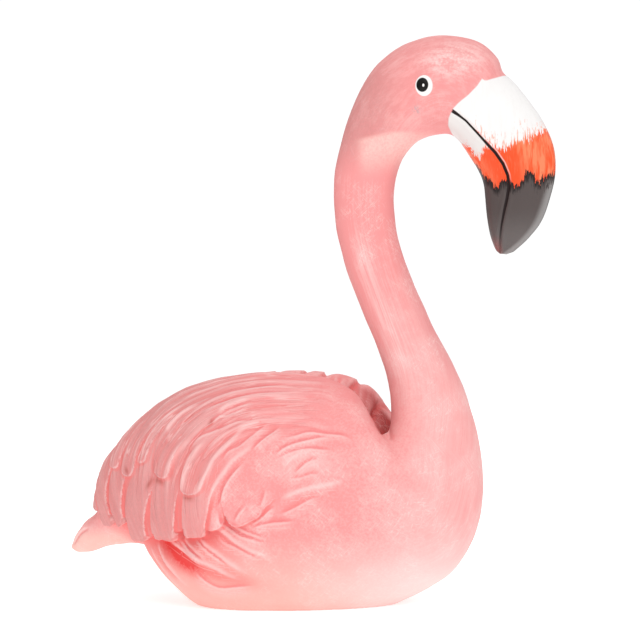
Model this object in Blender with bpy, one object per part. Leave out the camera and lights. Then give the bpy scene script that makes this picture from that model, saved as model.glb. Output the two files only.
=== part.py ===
# Flamingo figurine: one hollow-cast, hand-painted figure, modelled as a single solid.
# The bird sits on its flat underside, faces +X and is the same on both sides of the plane y = 0.
# Blender 4.5 script, in metres, +Z up.

import bmesh
import bpy
import numpy as np
from mathutils import Vector

# Driving sizes: how tall the figure stands, how long it is from tail to beak, and how wide.
HEIGHT = 0.315
LENGTH = 0.2865
WIDTH = 0.121

# The outline below is drawn in millimetres on a figure of these sizes, and follows them.
DRAWN_TALL = 315.3
DRAWN_LONG = 286.5
DRAWN_WIDE = 120.9
MIDDLE_OF_LENGTH = -8.3
SCALE = np.array([LENGTH / DRAWN_LONG, WIDTH / DRAWN_WIDE, HEIGHT / DRAWN_TALL])

# Each ring of the body lies in a plane across the bird, between a point of the belly or throat and
# a point of the back. Columns: belly x and z, back x and z, half width, where on the way from
# belly to back the ring is widest, how square its lower and its upper half are (2 is an ellipse),
# and how deep the hollow between the two wings cuts into it.
TAIL_RINGS = [
    (-151.0, 29.5, -151.0, 33.0, 3.0, 0.50, 2.0, 2.0, 0.0),
    (-147.0, 27.3, -147.5, 39.5, 8.0, 0.50, 2.0, 2.0, 0.0),
    (-139.0, 27.5, -141.5, 47.0, 14.0, 0.50, 2.2, 2.2, 0.0),
    (-129.0, 29.5, -136.0, 52.5, 18.5, 0.50, 2.4, 2.4, 0.0),
]
BODY_RINGS = [
    (-121.0, 30.0, -133.0, 58.5, 22.5, 0.60, 2.4, 2.6, 0.0),
    (-113.0, 30.5, -131.0, 67.0, 28.0, 0.60, 2.2, 2.6, 1.0),
    (-102.0, 28.0, -125.5, 82.0, 35.5, 0.55, 2.0, 2.4, 2.0),
    (-93.5, 18.0, -113.0, 98.5, 43.0, 0.50, 2.0, 2.3, 3.0),
    (-82.0, 6.0, -96.0, 113.5, 49.5, 0.48, 2.0, 2.3, 4.0),
    (-69.0, -3.0, -77.5, 124.5, 54.0, 0.46, 2.1, 2.3, 5.0),
    (-54.0, -9.0, -57.0, 131.0, 57.0, 0.45, 2.2, 2.3, 6.0),
    (-34.0, -11.5, -33.0, 134.0, 57.5, 0.45, 2.3, 2.4, 9.0),
    (-9.0, -11.0, -9.0, 133.0, 57.0, 0.45, 2.3, 2.5, 13.0),
    (12.0, -8.0, 8.0, 130.0, 56.0, 0.46, 2.2, 2.6, 18.0),
    (30.0, -4.0, 19.5, 125.0, 54.0, 0.47, 2.1, 2.7, 24.0),
    (45.0, 1.5, 27.5, 118.5, 51.5, 0.48, 2.0, 2.8, 28.0),
    (58.5, 8.5, 33.0, 112.0, 49.0, 0.48, 2.0, 2.8, 26.0),
    (70.0, 16.0, 36.5, 106.0, 46.5, 0.48, 2.0, 2.7, 14.0),
    (78.5, 25.5, 38.8, 102.0, 43.5, 0.48, 2.0, 2.5, 4.0),
    (84.7, 37.5, 40.0, 101.0, 40.0, 0.48, 2.0, 2.2, 0.0),
    (88.7, 54.0, 40.3, 104.0, 35.5, 0.50, 2.0, 2.1, 0.0),
]
NECK_RINGS = [
    (89.8, 72.0, 40.4, 108.0, 30.5, 0.52, 2.0, 2.0, 0.0),
    (87.7, 91.0, 40.0, 113.5, 26.0, 0.52, 2.0, 2.0, 0.0),
    (83.0, 111.0, 39.0, 121.0, 22.5, 0.50, 2.0, 2.0, 0.0),
    (75.5, 131.0, 36.0, 133.5, 19.2, 0.50, 2.0, 2.0, 0.0),
    (64.8, 152.0, 29.2, 152.0, 17.2, 0.50, 2.0, 2.0, 0.0),
    (56.3, 172.0, 21.0, 173.0, 16.2, 0.50, 2.0, 2.0, 0.0),
    (48.8, 192.0, 14.6, 193.0, 15.8, 0.50, 2.0, 2.0, 0.0),
    (44.4, 212.0, 10.6, 215.0, 15.4, 0.50, 2.0, 2.0, 0.0),
    (44.7, 232.0, 10.6, 236.0, 15.3, 0.50, 2.0, 2.0, 0.0),
    (49.0, 247.0, 14.5, 256.0, 16.0, 0.50, 2.0, 2.0, 0.0),
    (56.5, 256.3, 20.0, 273.0, 18.5, 0.50, 2.0, 2.0, 0.0),
]
HEAD_RINGS = [
    (64.0, 259.7, 29.0, 290.5, 21.0, 0.50, 2.0, 2.0, 0.0),
    (71.0, 260.6, 41.0, 304.0, 22.5, 0.50, 2.1, 2.1, 0.0),
    (77.0, 259.8, 56.5, 312.8, 22.5, 0.52, 2.2, 2.1, 0.0),
    (81.5, 256.5, 74.0, 315.2, 21.5, 0.55, 2.2, 2.1, 0.0),
    (85.0, 251.5, 91.5, 310.3, 19.5, 0.56, 2.1, 2.0, 0.0),
]
BEAK_RINGS = [
    (88.5, 245.5, 103.5, 299.5, 17.2, 0.56, 2.0, 2.0, 0.0),
    (91.5, 240.5, 112.6, 286.0, 15.4, 0.56, 2.0, 2.0, 0.0),
    (94.0, 235.0, 122.0, 275.0, 14.4, 0.56, 2.0, 2.0, 0.0),
    (95.2, 230.0, 129.0, 263.5, 13.5, 0.56, 2.0, 2.0, 0.0),
    (95.6, 224.0, 133.9, 250.5, 12.6, 0.55, 2.0, 2.0, 0.0),
    (96.0, 217.0, 134.6, 236.5, 11.6, 0.55, 2.0, 2.0, 0.0),
    (96.8, 209.5, 131.7, 223.4, 10.2, 0.55, 2.0, 2.0, 0.0),
    (98.0, 202.5, 126.5, 210.0, 8.4, 0.55, 2.0, 2.0, 0.0),
    (100.0, 196.5, 118.5, 200.0, 6.0, 0.55, 2.0, 2.0, 0.0),
    (102.5, 192.3, 110.5, 193.3, 2.8, 0.50, 2.0, 2.0, 0.0),
]
RINGS = np.array(TAIL_RINGS + BODY_RINGS + NECK_RINGS + HEAD_RINGS + BEAK_RINGS)
NECK_START = float(len(TAIL_RINGS) + len(BODY_RINGS))
BEAK_TIP = len(RINGS) - 1.0
HALF_HOLLOW = 26.0

# How finely the surface is divided: points round a ring, and rings along the bird.
ROUND_NECK = 26
NECK_TO_BODY = 3
ROUND_BODY = ROUND_NECK * NECK_TO_BODY
BODY_ROWS = 54
NECK_ROWS = 32
EDGE_WIDTH = 1.6
# Ring numbers between which the rows lie closer together, and by how much.
CLOSER_ROWS = ((3.0, 5.0), (11.0, 13.0))
CLOSER_BY = 1.6
ROUND_AGAIN_AFTER = 6.0
TIP_BULGE = 0.8
# Share of the half ring's points that lie below the lower edge of the wing, and that edge's angle.
HULL_SHARE = 0.24
WING_EDGE_ANGLE = np.radians(-14.0)

# A point of the wing is placed by its distance from this hub and its angle round it, where 90 is
# straight up and 180 straight back. The hub is given as (length along the side, girth from the
# base), both in drawn millimetres.
HUB = (20.0, 62.0)
SIDE_LINE_START = -151.0
SIDE_LINE_GIRTH = 58.0

# Feathers: distance and angle of the root, distance and angle of the tip, half width at root and
# at tip, how far the tip stands up, and how square the tip is. Later ones lie on earlier ones.
LOWER_ROW = [
    (112.0, 150.0, 133.0, 184.0, 4.0, 6.0, 2.0, 4.0),
    (104.0, 150.0, 124.0, 188.0, 4.0, 5.0, 2.2, 4.0),
    (98.0, 150.0, 114.0, 191.0, 4.0, 6.0, 2.2, 4.0),
    (90.0, 150.0, 100.0, 194.0, 5.0, 9.5, 2.4, 5.0),
    (75.0, 155.0, 71.5, 195.5, 7.0, 9.2, 2.4, 6.0),
    (57.0, 158.0, 53.5, 197.0, 6.5, 8.2, 2.4, 5.0),
    (43.0, 120.0, 41.0, 198.0, 4.0, 4.8, 1.8, 3.0),
]
UPPER_ROW = [
    (104.0, 100.0, 106.0, 170.0, 4.0, 7.0, 2.4, 2.5),
    (92.0, 100.0, 91.0, 171.0, 4.0, 7.0, 2.4, 2.5),
    (74.0, 105.0, 71.5, 170.0, 5.0, 6.2, 2.8, 2.2),
    (55.0, 105.0, 54.2, 176.0, 5.0, 6.4, 2.8, 2.2),
    (66.0, 70.0, 66.0, 145.0, 5.0, 6.0, 2.2, 2.2),
    (85.0, 70.0, 86.0, 140.0, 5.0, 6.0, 2.2, 2.2),
]
FRONT_FEATHER = [(22.0, 70.0, 24.5, 204.0, 16.0, 14.0, 2.6, 2.6)]
FEATHERS = LOWER_ROW + UPPER_ROW + FRONT_FEATHER
FEATHER_CROWN = 0.8
ROOT_FADE = 0.12
TIP_LENGTH_TO_HALF_WIDTH = 1.3

# Lower edge of the wing, as girth at a length along the side, without its feather tips.
WING_EDGE_AT = [-119.0, -112.0, -100.0, -88.0, -66.0, -45.0, -30.0, -18.0, -6.0, 12.0, 60.0]
WING_EDGE_GIRTH = [72.0, 62.0, 54.0, 50.0, 50.0, 52.0, 54.0, 56.0, 60.0, 60.0, 40.0]
WING_REAR_AT = (-119.5, -116.5)
WING_FADES_AT = (5.0, 35.0)
# Depth of the body below that edge, and how far down the recess fades out.
RECESS_AT = [-151.0, -135.0, -120.0, -100.0, -80.0, -60.0, -40.0, -22.0, -5.0, 12.0, 40.0]
RECESS_DEPTH = [0.0, 0.5, 3.0, 5.0, 7.0, 8.5, 7.0, 5.0, 3.5, 1.5, 0.0]
RECESS_TOP_AT = [-119.0, -66.0, -30.0, 12.0]
RECESS_TOP_GIRTH = [50.0, 42.0, 46.0, 58.0]
RECESS_FADE_AT = [-110.0, -85.0, -50.0, 0.0]
RECESS_FADE = [60.0, 22.0, 14.0, 12.0]

# Scalloped feathers along the inner edge of each wing, beside the hollow behind the neck.
SCALLOP_PITCH = 15.0
SCALLOP_START = -6.0
SCALLOP_HEIGHT = 1.6
SCALLOP_DROP = 0.12
SCALLOPS_ALONG = ((-12.0, 0.0), (60.0, 72.0))
SCALLOPS_GIRTH = ((128.0, 140.0), (168.0, 180.0))

# Painted finish: linear colours, and where along the beak the bands meet, in ring numbers.
PINK = (0.93, 0.38, 0.38, 1.0)
WHITE = (0.90, 0.88, 0.85, 1.0)
ORANGE = (0.93, 0.15, 0.05, 1.0)
BLACK = (0.05, 0.04, 0.04, 1.0)
PINK_ROUGHNESS = 0.55
BEAK_ROUGHNESS = 0.3
WHITE_FROM = 37.0
ORANGE_FROM = 40.5
BLACK_FROM = 42.3


def clear_scene():
    """Remove every object of the open file."""
    for item in list(bpy.data.objects):
        bpy.data.objects.remove(item, do_unlink=True)


def ease(low, high, value):
    """0 below low, 1 above high, and the smooth cubic 3k^2 - 2k^3 between them."""
    k = np.clip((value - low) / (high - low), 0.0, 1.0)
    return k * k * (3.0 - 2.0 * k)


def rings_at(places):
    """Ring values at fractional ring numbers, on a smooth curve (Catmull-Rom) through the rings."""
    first = np.clip(np.floor(places).astype(int), 0, len(RINGS) - 2)
    k = (places - first)[:, None]
    ends = (2.0 * RINGS[0] - RINGS[1], RINGS, 2.0 * RINGS[-1] - RINGS[-2])
    rows = np.vstack(ends)
    a, b, c, d = (rows[first + step] for step in range(4))
    curve = 2.0 * b + (c - a) * k + (2.0 * a - 5.0 * b + 4.0 * c - d) * k ** 2
    return 0.5 * (curve + (3.0 * b - a - 3.0 * c + d) * k ** 3)


def bare_surface(places, angles):
    """One side of the bird without its carving, as rows of points, one row to a ring.

    A point at an angle stands, from the widest height m, a share (1 - m) |sin|^(2/n) up to the
    back or m |sin|^(2/n) down to the belly, and w |cos|^(2/n) out from the mid plane. The hollow
    between the wings lowers the points near the mid plane.
    """
    values = rings_at(places)
    belly = values[:, 0:2]
    back = values[:, 2:4]
    half_width, widest, low_square, high_square, hollow = (values[:, i][:, None] for i in range(4, 9))
    sine = np.sin(angles)
    cosine = np.abs(np.cos(angles))
    square = np.where(sine >= 0.0, high_square, low_square)
    rise = np.abs(sine) ** (2.0 / square)
    out = half_width * cosine ** (2.0 / square)
    share = np.where(sine >= 0.0, widest + (1.0 - widest) * rise, widest - widest * rise)
    way = back - belly
    length = np.linalg.norm(way, axis=1)[:, None]
    near_middle = 1.0 - ease(0.0, 1.0, out / HALF_HOLLOW)
    high_part = np.clip(2.0 * rise - 0.6, 0.0, 1.0) * (sine > 0.0)
    share = share - np.maximum(hollow, 0.0) / length * near_middle * high_part
    x = belly[:, 0:1] + way[:, 0:1] * share
    z = belly[:, 1:2] + way[:, 1:2] * share
    return np.stack([x, out, z], axis=-1)


def side_angles(count):
    """Angles of the points on one side, from the belly to the back, closer together on the wing."""
    hull = int(round(count * HULL_SHARE))
    lower = np.linspace(-0.5 * np.pi, WING_EDGE_ANGLE, hull, endpoint=False)
    upper = np.linspace(WING_EDGE_ANGLE, 0.5 * np.pi, count - hull)
    return np.concatenate([lower, upper])


def even_places(start, end, count):
    """Ring numbers from start to end, even along the surface but closer on the feathers."""
    fine = np.linspace(start, end, 40 * count)
    angles = np.broadcast_to(np.linspace(-0.5 * np.pi, 0.5 * np.pi, 24), (len(fine), 24))
    points = bare_surface(fine, angles)
    steps = np.linalg.norm(np.diff(points, axis=0), axis=2)
    middles = 0.5 * (fine[1:] + fine[:-1])
    (rise_from, rise_to), (fall_from, fall_to) = CLOSER_ROWS
    closer = ease(rise_from, rise_to, middles) * (1.0 - ease(fall_from, fall_to, middles))
    steps = (0.5 * steps.max(axis=1) + 0.5 * steps.mean(axis=1)) * (1.0 + CLOSER_BY * closer)
    travel = np.concatenate([[0.0], np.cumsum(steps)])
    return np.interp(np.linspace(0.0, travel[-1], count), travel, fine)


def unrolled(points):
    """Length along the side and girth from the base of each point, as if the side lay flat."""
    side = int(np.argmax(points[len(points) // 2, :, 1]))
    along = np.linalg.norm(np.diff(points[:, side], axis=0), axis=1)
    length = SIDE_LINE_START + np.concatenate([[0.0], np.cumsum(along)])
    around = np.linalg.norm(np.diff(points, axis=1), axis=2)
    girth = np.concatenate([np.zeros((len(points), 1)), np.cumsum(around, axis=1)], axis=1)
    girth = girth - girth[:, side:side + 1] + SIDE_LINE_GIRTH
    return np.broadcast_to(length[:, None], girth.shape), girth


def feather_relief(length, girth, edge):
    """Height of the overlapping feathers, and where any feather lies.

    Across a feather v runs from -1 to 1 and q from 0 to 1 over its tip, and the feather ends where
    |v|^s + q^s = 1. Its height grows from the root to the tip with a crown of (1 - v^2).
    """
    ahead = length - HUB[0]
    above = girth - HUB[1]
    distance = np.hypot(ahead, above)
    angle = 180.0 - np.degrees(np.arctan2(above, -ahead))
    angle = np.where(angle > 300.0, angle - 360.0, angle)
    height = np.zeros_like(distance)
    covered = np.zeros_like(distance)
    for root, root_angle, tip, tip_angle, half_root, half_tip, lift, square in FEATHERS:
        way = np.clip((angle - root_angle) / (tip_angle - root_angle), 0.0, 1.1)
        half = half_root + (half_tip - half_root) * np.minimum(way, 1.0)
        v = np.abs(distance - root - (tip - root) * way) / half
        before_tip = np.radians(tip_angle - angle) * np.maximum(distance, 8.0)
        tip_length = TIP_LENGTH_TO_HALF_WIDTH * half
        q = np.clip((tip_length - before_tip) / tip_length, 0.0, 2.0)
        rim = (v ** square + q ** square) ** (1.0 / square)
        inside = 1.0 - ease(1.0 - edge / half, 1.0 + edge / half, rim)
        inside = inside * ease(0.0, ROOT_FADE, way)
        crown = FEATHER_CROWN * (1.0 - np.minimum(v, 1.0) ** 2) * np.minimum(3.0 * way, 1.0)
        height = height * (1.0 - inside) + (lift * np.minimum(way, 1.0) ** 1.5 + crown) * inside
        covered = np.maximum(covered, inside)
    return height, covered


def scallop_relief(length, girth):
    """Saw-toothed height of the short feathers along the wing's inner edge."""
    phase = ((length - SCALLOP_START) / SCALLOP_PITCH) % 1.0
    tooth = np.minimum(phase / (1.0 - SCALLOP_DROP), (1.0 - phase) / SCALLOP_DROP)
    (start, full), (fade, end) = SCALLOPS_ALONG
    (low, low_full), (high_fade, high) = SCALLOPS_GIRTH
    window = ease(start, full, length) * (1.0 - ease(fade, end, length))
    window = window * ease(low, low_full, girth) * (1.0 - ease(high_fade, high, girth))
    return SCALLOP_HEIGHT * window * (tooth - 0.4)


def carving(length, girth, edge):
    """Height of the carving over the bare surface: feathers, scallops, recess under the wing."""
    feathers, covered = feather_relief(length, girth, edge)
    wing_edge = np.interp(length, WING_EDGE_AT, WING_EDGE_GIRTH)
    wing = ease(-edge, edge, girth - wing_edge) * ease(*WING_REAR_AT, length)
    wing = np.maximum(np.maximum(wing, covered), ease(*WING_FADES_AT, length))
    below = np.maximum(np.interp(length, RECESS_TOP_AT, RECESS_TOP_GIRTH) - girth, 0.0)
    fade = np.exp(-(below / np.interp(length, RECESS_FADE_AT, RECESS_FADE)) ** 1.5)
    recess = -np.interp(length, RECESS_AT, RECESS_DEPTH) * fade
    return recess * (1.0 - wing) + feathers * wing + scallop_relief(length, girth)


def carved_body(places, angles, edge):
    """The body's side with its carving, moved along the surface's own normals."""
    points = bare_surface(places, angles)
    normals = np.cross(np.gradient(points, axis=1), np.gradient(points, axis=0))
    normals = normals / np.maximum(np.linalg.norm(normals, axis=2, keepdims=True), 1e-9)
    outward = np.sign(normals[len(points) // 2, points.shape[1] // 2, 1])
    length, girth = unrolled(points)
    points = points + outward * normals * carving(length, girth, edge)[:, :, None]
    points[:, 0, 1] = 0.0
    points[:, -1, 1] = 0.0
    return points


def both_sides(side):
    """Closed rings from one side: belly to back on the right, and back to belly on the left."""
    right = side * np.array([1.0, -1.0, 1.0])
    left = side[:, -2:0:-1]
    return np.concatenate([right, left], axis=1)


def placed(rings):
    """Drawn millimetres to metres, standing on z = 0 with the middle of the length at the origin."""
    rings = rings - np.array([MIDDLE_OF_LENGTH, 0.0, 0.0])
    rings[..., 2] = np.maximum(rings[..., 2], 0.0)
    return rings * SCALE


def paint_at(place):
    """Number of the paint at a ring number: pink, white, orange or black."""
    return sum(place >= start for start in (WHITE_FROM, ORANGE_FROM, BLACK_FROM))


def add_rings(mesh, rings, places):
    """Add a vertex for every point and a face between neighbours; return the vertex rows."""
    rows = [[mesh.verts.new(point) for point in ring] for ring in rings]
    for lower, upper, place in zip(rows[:-1], rows[1:], places):
        count = len(lower)
        for i in range(count):
            j = (i + 1) % count
            face = mesh.faces.new((lower[i], lower[j], upper[j], upper[i]))
            face.material_index = paint_at(place)
    return rows


def close_end(mesh, row, beyond, place):
    """Close an end ring with a fan to its middle point, moved on to make a rounded tip."""
    middle = sum((vertex.co for vertex in row), Vector()) / len(row)
    tip = mesh.verts.new(middle + beyond)
    for i, vertex in enumerate(row):
        face = mesh.faces.new((vertex, row[(i + 1) % len(row)], tip))
        face.material_index = paint_at(place)


def join_rows(mesh, fine, coarse):
    """Join the last body ring to the first neck ring, which has fewer points."""
    for i, vertex in enumerate(coarse):
        ahead = coarse[(i + 1) % len(coarse)]
        steps = [fine[(NECK_TO_BODY * i + k) % len(fine)] for k in range(NECK_TO_BODY + 1)]
        mesh.faces.new((steps[0], steps[1], vertex))
        mesh.faces.new((steps[1], steps[2], ahead, vertex))
        mesh.faces.new((steps[2], steps[3], ahead))


def paint(name, colour, roughness):
    """A painted finish of one colour."""
    material = bpy.data.materials.new(name)
    material.use_nodes = True
    shader = material.node_tree.nodes["Principled BSDF"]
    shader.inputs["Base Color"].default_value = colour
    shader.inputs["Roughness"].default_value = roughness
    return material


def paint_all(body):
    """The figure's four paints, in the order of paint_at."""
    body.materials.append(paint("pink_paint", PINK, PINK_ROUGHNESS))
    body.materials.append(paint("white_paint", WHITE, BEAK_ROUGHNESS))
    body.materials.append(paint("orange_paint", ORANGE, BEAK_ROUGHNESS))
    body.materials.append(paint("black_paint", BLACK, BEAK_ROUGHNESS))


def make_figure():
    """Build the whole figure as one closed mesh and link it to the scene."""
    per_side = ROUND_BODY // 2 + 1
    body_places = even_places(0.0, NECK_START, BODY_ROWS)
    body_angles = np.broadcast_to(side_angles(per_side), (BODY_ROWS, per_side))
    body = placed(both_sides(carved_body(body_places, body_angles, EDGE_WIDTH)))

    neck_places = even_places(NECK_START, BEAK_TIP, NECK_ROWS)[1:]
    neck_angles = side_angles(per_side)[::NECK_TO_BODY]
    even_angles = np.linspace(-0.5 * np.pi, 0.5 * np.pi, len(neck_angles))
    blend = ease(NECK_START, NECK_START + ROUND_AGAIN_AFTER, neck_places)[:, None]
    neck_angles = neck_angles * (1.0 - blend) + even_angles * blend
    neck = placed(both_sides(bare_surface(neck_places, neck_angles)))

    mesh = bmesh.new()
    body_rows = add_rings(mesh, body, body_places)
    neck_rows = add_rings(mesh, neck, neck_places)
    join_rows(mesh, body_rows[-1], neck_rows[0])
    close_end(mesh, body_rows[0], Vector((-TIP_BULGE * SCALE[0], 0.0, 0.0)), 0.0)
    close_end(mesh, neck_rows[-1], Vector((0.0, 0.0, -TIP_BULGE * SCALE[2])), BEAK_TIP)
    bmesh.ops.recalc_face_normals(mesh, faces=mesh.faces[:])
    bmesh.ops.triangulate(mesh, faces=mesh.faces[:])

    data = bpy.data.meshes.new("flamingo_figure")
    mesh.to_mesh(data)
    mesh.free()
    data.shade_smooth()
    paint_all(data)
    figure = bpy.data.objects.new("flamingo_figure", data)
    bpy.context.scene.collection.objects.link(figure)
    return figure


clear_scene()
make_figure()
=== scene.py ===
# Looks of the flamingo figurine: one hand-painted resin casting on a pale studio floor.
# The casting is a single closed mesh worked out with numpy. Its rings are the CAD part's, with one
# more at the beak's root and a slightly fuller forehead. It adds a dip behind the neck, finer
# feathers, folds, eyes and mouth, and one material that paints it by brush strokes, with painted
# shade and painted highlights among them.

import bpy
import numpy as np
from mathutils import Matrix, Vector


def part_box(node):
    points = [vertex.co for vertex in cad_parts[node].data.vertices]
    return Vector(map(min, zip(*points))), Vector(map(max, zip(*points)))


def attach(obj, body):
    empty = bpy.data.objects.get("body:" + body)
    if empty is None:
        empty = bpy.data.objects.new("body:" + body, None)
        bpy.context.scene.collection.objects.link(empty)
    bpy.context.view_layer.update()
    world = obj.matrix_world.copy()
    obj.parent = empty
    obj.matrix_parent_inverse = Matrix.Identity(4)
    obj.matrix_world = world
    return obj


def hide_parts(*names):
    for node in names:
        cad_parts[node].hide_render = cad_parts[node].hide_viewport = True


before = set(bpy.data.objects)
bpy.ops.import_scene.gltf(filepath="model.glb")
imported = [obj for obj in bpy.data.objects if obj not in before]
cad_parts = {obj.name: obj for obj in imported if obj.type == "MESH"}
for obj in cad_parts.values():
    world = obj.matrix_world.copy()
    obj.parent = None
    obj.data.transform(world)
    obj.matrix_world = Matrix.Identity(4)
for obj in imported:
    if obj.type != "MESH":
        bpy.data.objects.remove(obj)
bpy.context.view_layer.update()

# The form is drawn in millimetres on a figure 315 mm tall, and fitted to the CAD part's box.
DRAWN_SIZE = np.array([286.5, 120.9, 315])
MIDDLE_OF_LENGTH = -8.3
HIGHEST_DRAWN = 315.3
LOW, HIGH = (np.array(corner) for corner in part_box("flamingo_figure"))
UNIT = (HIGH - LOW) / DRAWN_SIZE

# Rings across the bird. Columns: belly x and z, back x and z, half width, where on the way from
# belly to back the ring is widest, how square its lower and upper half are, depth of the hollow.
TAIL_RINGS = [
    (-151, 29.5, -151, 33, 3, 0.5, 2, 2, 0),
    (-147, 27.3, -147.5, 39.5, 8, 0.5, 2, 2, 0),
    (-139, 27.5, -141.5, 47, 14, 0.5, 2.2, 2.2, 0),
    (-129, 29.5, -136, 52.5, 18.5, 0.5, 2.4, 2.4, 0),
]
BODY_RINGS = [
    (-121, 30, -133, 58.5, 22.5, 0.6, 2.4, 2.6, 0),
    (-113, 30.5, -131, 67, 28, 0.6, 2.2, 2.6, 1),
    (-102, 28, -125.5, 82, 35.5, 0.55, 2, 2.4, 2),
    (-93.5, 18, -113, 98.5, 43, 0.5, 2, 2.3, 3),
    (-82, 6, -96, 113.5, 49.5, 0.48, 2, 2.3, 4),
    (-69, -3, -77.5, 124.5, 54, 0.46, 2.1, 2.3, 5),
    (-54, -9, -57, 131, 57, 0.45, 2.2, 2.3, 6),
    (-34, -11.5, -33, 134, 57.5, 0.45, 2.3, 2.4, 9),
    (-9, -11, -9, 133, 57, 0.45, 2.3, 2.5, 13),
    (12, -8, 8, 130, 56, 0.46, 2.2, 2.6, 18),
    (30, -4, 19.5, 125, 54, 0.47, 2.1, 2.7, 24),
    (45, 1.5, 27.5, 118.5, 51.5, 0.48, 2, 2.8, 28),
    (58.5, 8.5, 33, 112, 49, 0.48, 2, 2.8, 26),
    (70, 16, 36.5, 106, 46.5, 0.48, 2, 2.7, 14),
    (78.5, 25.5, 38.8, 102, 43.5, 0.48, 2, 2.5, 4),
    (84.7, 37.5, 40, 101, 40, 0.48, 2, 2.2, 0),
    (88.7, 54, 40.3, 104, 35.5, 0.5, 2, 2.1, 0),
]
NECK_RINGS = [
    (89.8, 72, 40.4, 108, 30.5, 0.52, 2, 2, 0),
    (87.7, 91, 40, 113.5, 26, 0.52, 2, 2, 0),
    (83, 111, 39, 121, 22.5, 0.5, 2, 2, 0),
    (75.5, 131, 36, 133.5, 19.2, 0.5, 2, 2, 0),
    (64.8, 152, 29.2, 152, 17.2, 0.5, 2, 2, 0),
    (56.3, 172, 21, 173, 16.2, 0.5, 2, 2, 0),
    (48.8, 192, 14.6, 193, 15.8, 0.5, 2, 2, 0),
    (44.4, 212, 10.6, 215, 15.4, 0.5, 2, 2, 0),
    (44.7, 232, 10.6, 236, 15.3, 0.5, 2, 2, 0),
    (49, 247, 14.5, 256, 16, 0.5, 2, 2, 0),
    (56.5, 256.3, 20, 273, 18.5, 0.5, 2, 2, 0),
]
HEAD_RINGS = [
    (64, 259.7, 29, 290.5, 21, 0.5, 2, 2, 0),
    (71, 260.6, 41, 304, 22.5, 0.5, 2.1, 2.1, 0),
    (77, 259.8, 56.5, 312.8, 22.5, 0.52, 2.2, 2.1, 0),
    (81.5, 256.5, 74, 315.2, 21.5, 0.55, 2.2, 2.1, 0),
    (85, 251.5, 93, 311, 19.5, 0.56, 2.1, 2, 0),
]
BEAK_RINGS = [
    (88, 246.4, 103.9, 301.6, 17.6, 0.56, 2, 2, 0),
    (89.9, 243.2, 107.2, 292.9, 16.3, 0.56, 2, 2, 0),
    (91.5, 240.5, 113.4, 286.6, 15.4, 0.56, 2, 2, 0),
    (94, 235, 122, 275, 14.4, 0.56, 2, 2, 0),
    (95.2, 230, 129, 263.5, 13.5, 0.56, 2, 2, 0),
    (95.6, 224, 133.9, 250.5, 12.6, 0.55, 2, 2, 0),
    (96, 217, 134.6, 236.5, 11.6, 0.55, 2, 2, 0),
    (96.8, 209.5, 131.7, 223.4, 10.2, 0.55, 2, 2, 0),
    (98, 202.5, 126.5, 210, 8.4, 0.55, 2, 2, 0),
    (100, 196.5, 118.5, 200, 6, 0.55, 2, 2, 0),
    (102.5, 192.3, 110.5, 193.3, 2.8, 0.5, 2, 2, 0),
]
RINGS = np.array(TAIL_RINGS + BODY_RINGS + NECK_RINGS + HEAD_RINGS + BEAK_RINGS)
NECK_START = float(len(TAIL_RINGS) + len(BODY_RINGS))
BEAK_TIP = len(RINGS) - 1
# The hollow between the wings reaches this far out. Its depth grows with the rise towards the back,
# by this slope less this start.
HALF_HOLLOW = 26
HOLLOW_SLOPE = 2
HOLLOW_START = 0.6
# The dip on each side of the neck's root, behind it: depth, place (x, out) and half sizes.
DIP = (7.5, (37.5, 22), (8.5, 11))
DIP_ABOVE = (70, 90)
DIP_UNTIL = NECK_START + 2
TIP_BULGE = 0.8

# How finely the surface is divided. The body's rings have twice as many points as the neck's.
NECK_SIDE = 86
BODY_SIDE = 171
BODY_ROWS = 218
NECK_ROWS = 140
# Where rows lie closer together: the ring numbers over which that begins, and over which it ends,
# and by what share.
BODY_CLOSER = ((3, 5), (14, 16.5), 0.9)
NECK_CLOSER = ((32, 33.5), (45, 47), 1.6)
# The steps and points with which the surface is measured, and the steps of a rounded line.
FINE_STEPS = 20
POINTS_ROUND = 24
STEPS_A_STRETCH = 8
# The share of a body ring's points above the wing's lower edge, the angle of that edge, and the
# number of rings after which the neck's points lie evenly again.
WING_SHARE = 0.74
WING_EDGE_ANGLE = np.radians(-14)
ROUND_AGAIN_AFTER = 6

# A point of the wing is placed by its distance from this hub and its angle round it, where 90 is
# straight up and 180 straight back. The hub is (length along the side, girth from the base).
HUB = (20, 62)
LAST_ANGLE = 300
SIDE_LINE_START = -151
SIDE_LINE_GIRTH = 58

# Feathers: distance and angle of the root, distance and angle of the tip, half width at root and
# at tip, how far the tip stands up, and how square the tip is. The feathers of one row lie side by
# side with gaps between them, and each row lies on the rows before it, raised by its level.
UNDER_ROW = [
    (82, 150, 86.5, 193.5, 4, 5, 0.5, 4),
    (60, 155, 65, 193, 3, 5, 0.5, 4),
    (43, 150, 44, 196, 4, 6, 0.6, 3),
]
LOWER_ROW = [
    (95, 150, 125, 186.5, 4.6, 6.2, 1.2, 4),
    (85.8, 150, 112.4, 188.5, 4.6, 6, 1.3, 4),
    (69.2, 150, 100.5, 195, 6.2, 9, 1.7, 5),
    (64, 150, 77.5, 196.5, 7.6, 8.2, 1.7, 6),
    (44.5, 140, 57, 198, 8.2, 7.2, 1.7, 6),
]
UPPER_ROW = [
    (96, 110, 104.5, 169.5, 3.4, 4.2, 0.8, 2.2),
    (88.5, 110, 94, 171, 3.4, 4.2, 0.9, 2),
    (76, 110, 74.3, 169.5, 8, 5.3, 1.9, 2.4),
    (56, 115, 55.8, 173.5, 7, 5.4, 1.9, 2.3),
]
TOP_ROW = [
    (84.5, 100, 86.3, 165.5, 2.6, 2.4, 0.6, 2),
]
FRONT_ROW = [
    (22, 95, 25, 199.5, 14, 13.6, 1.6, 2.5),
]
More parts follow.
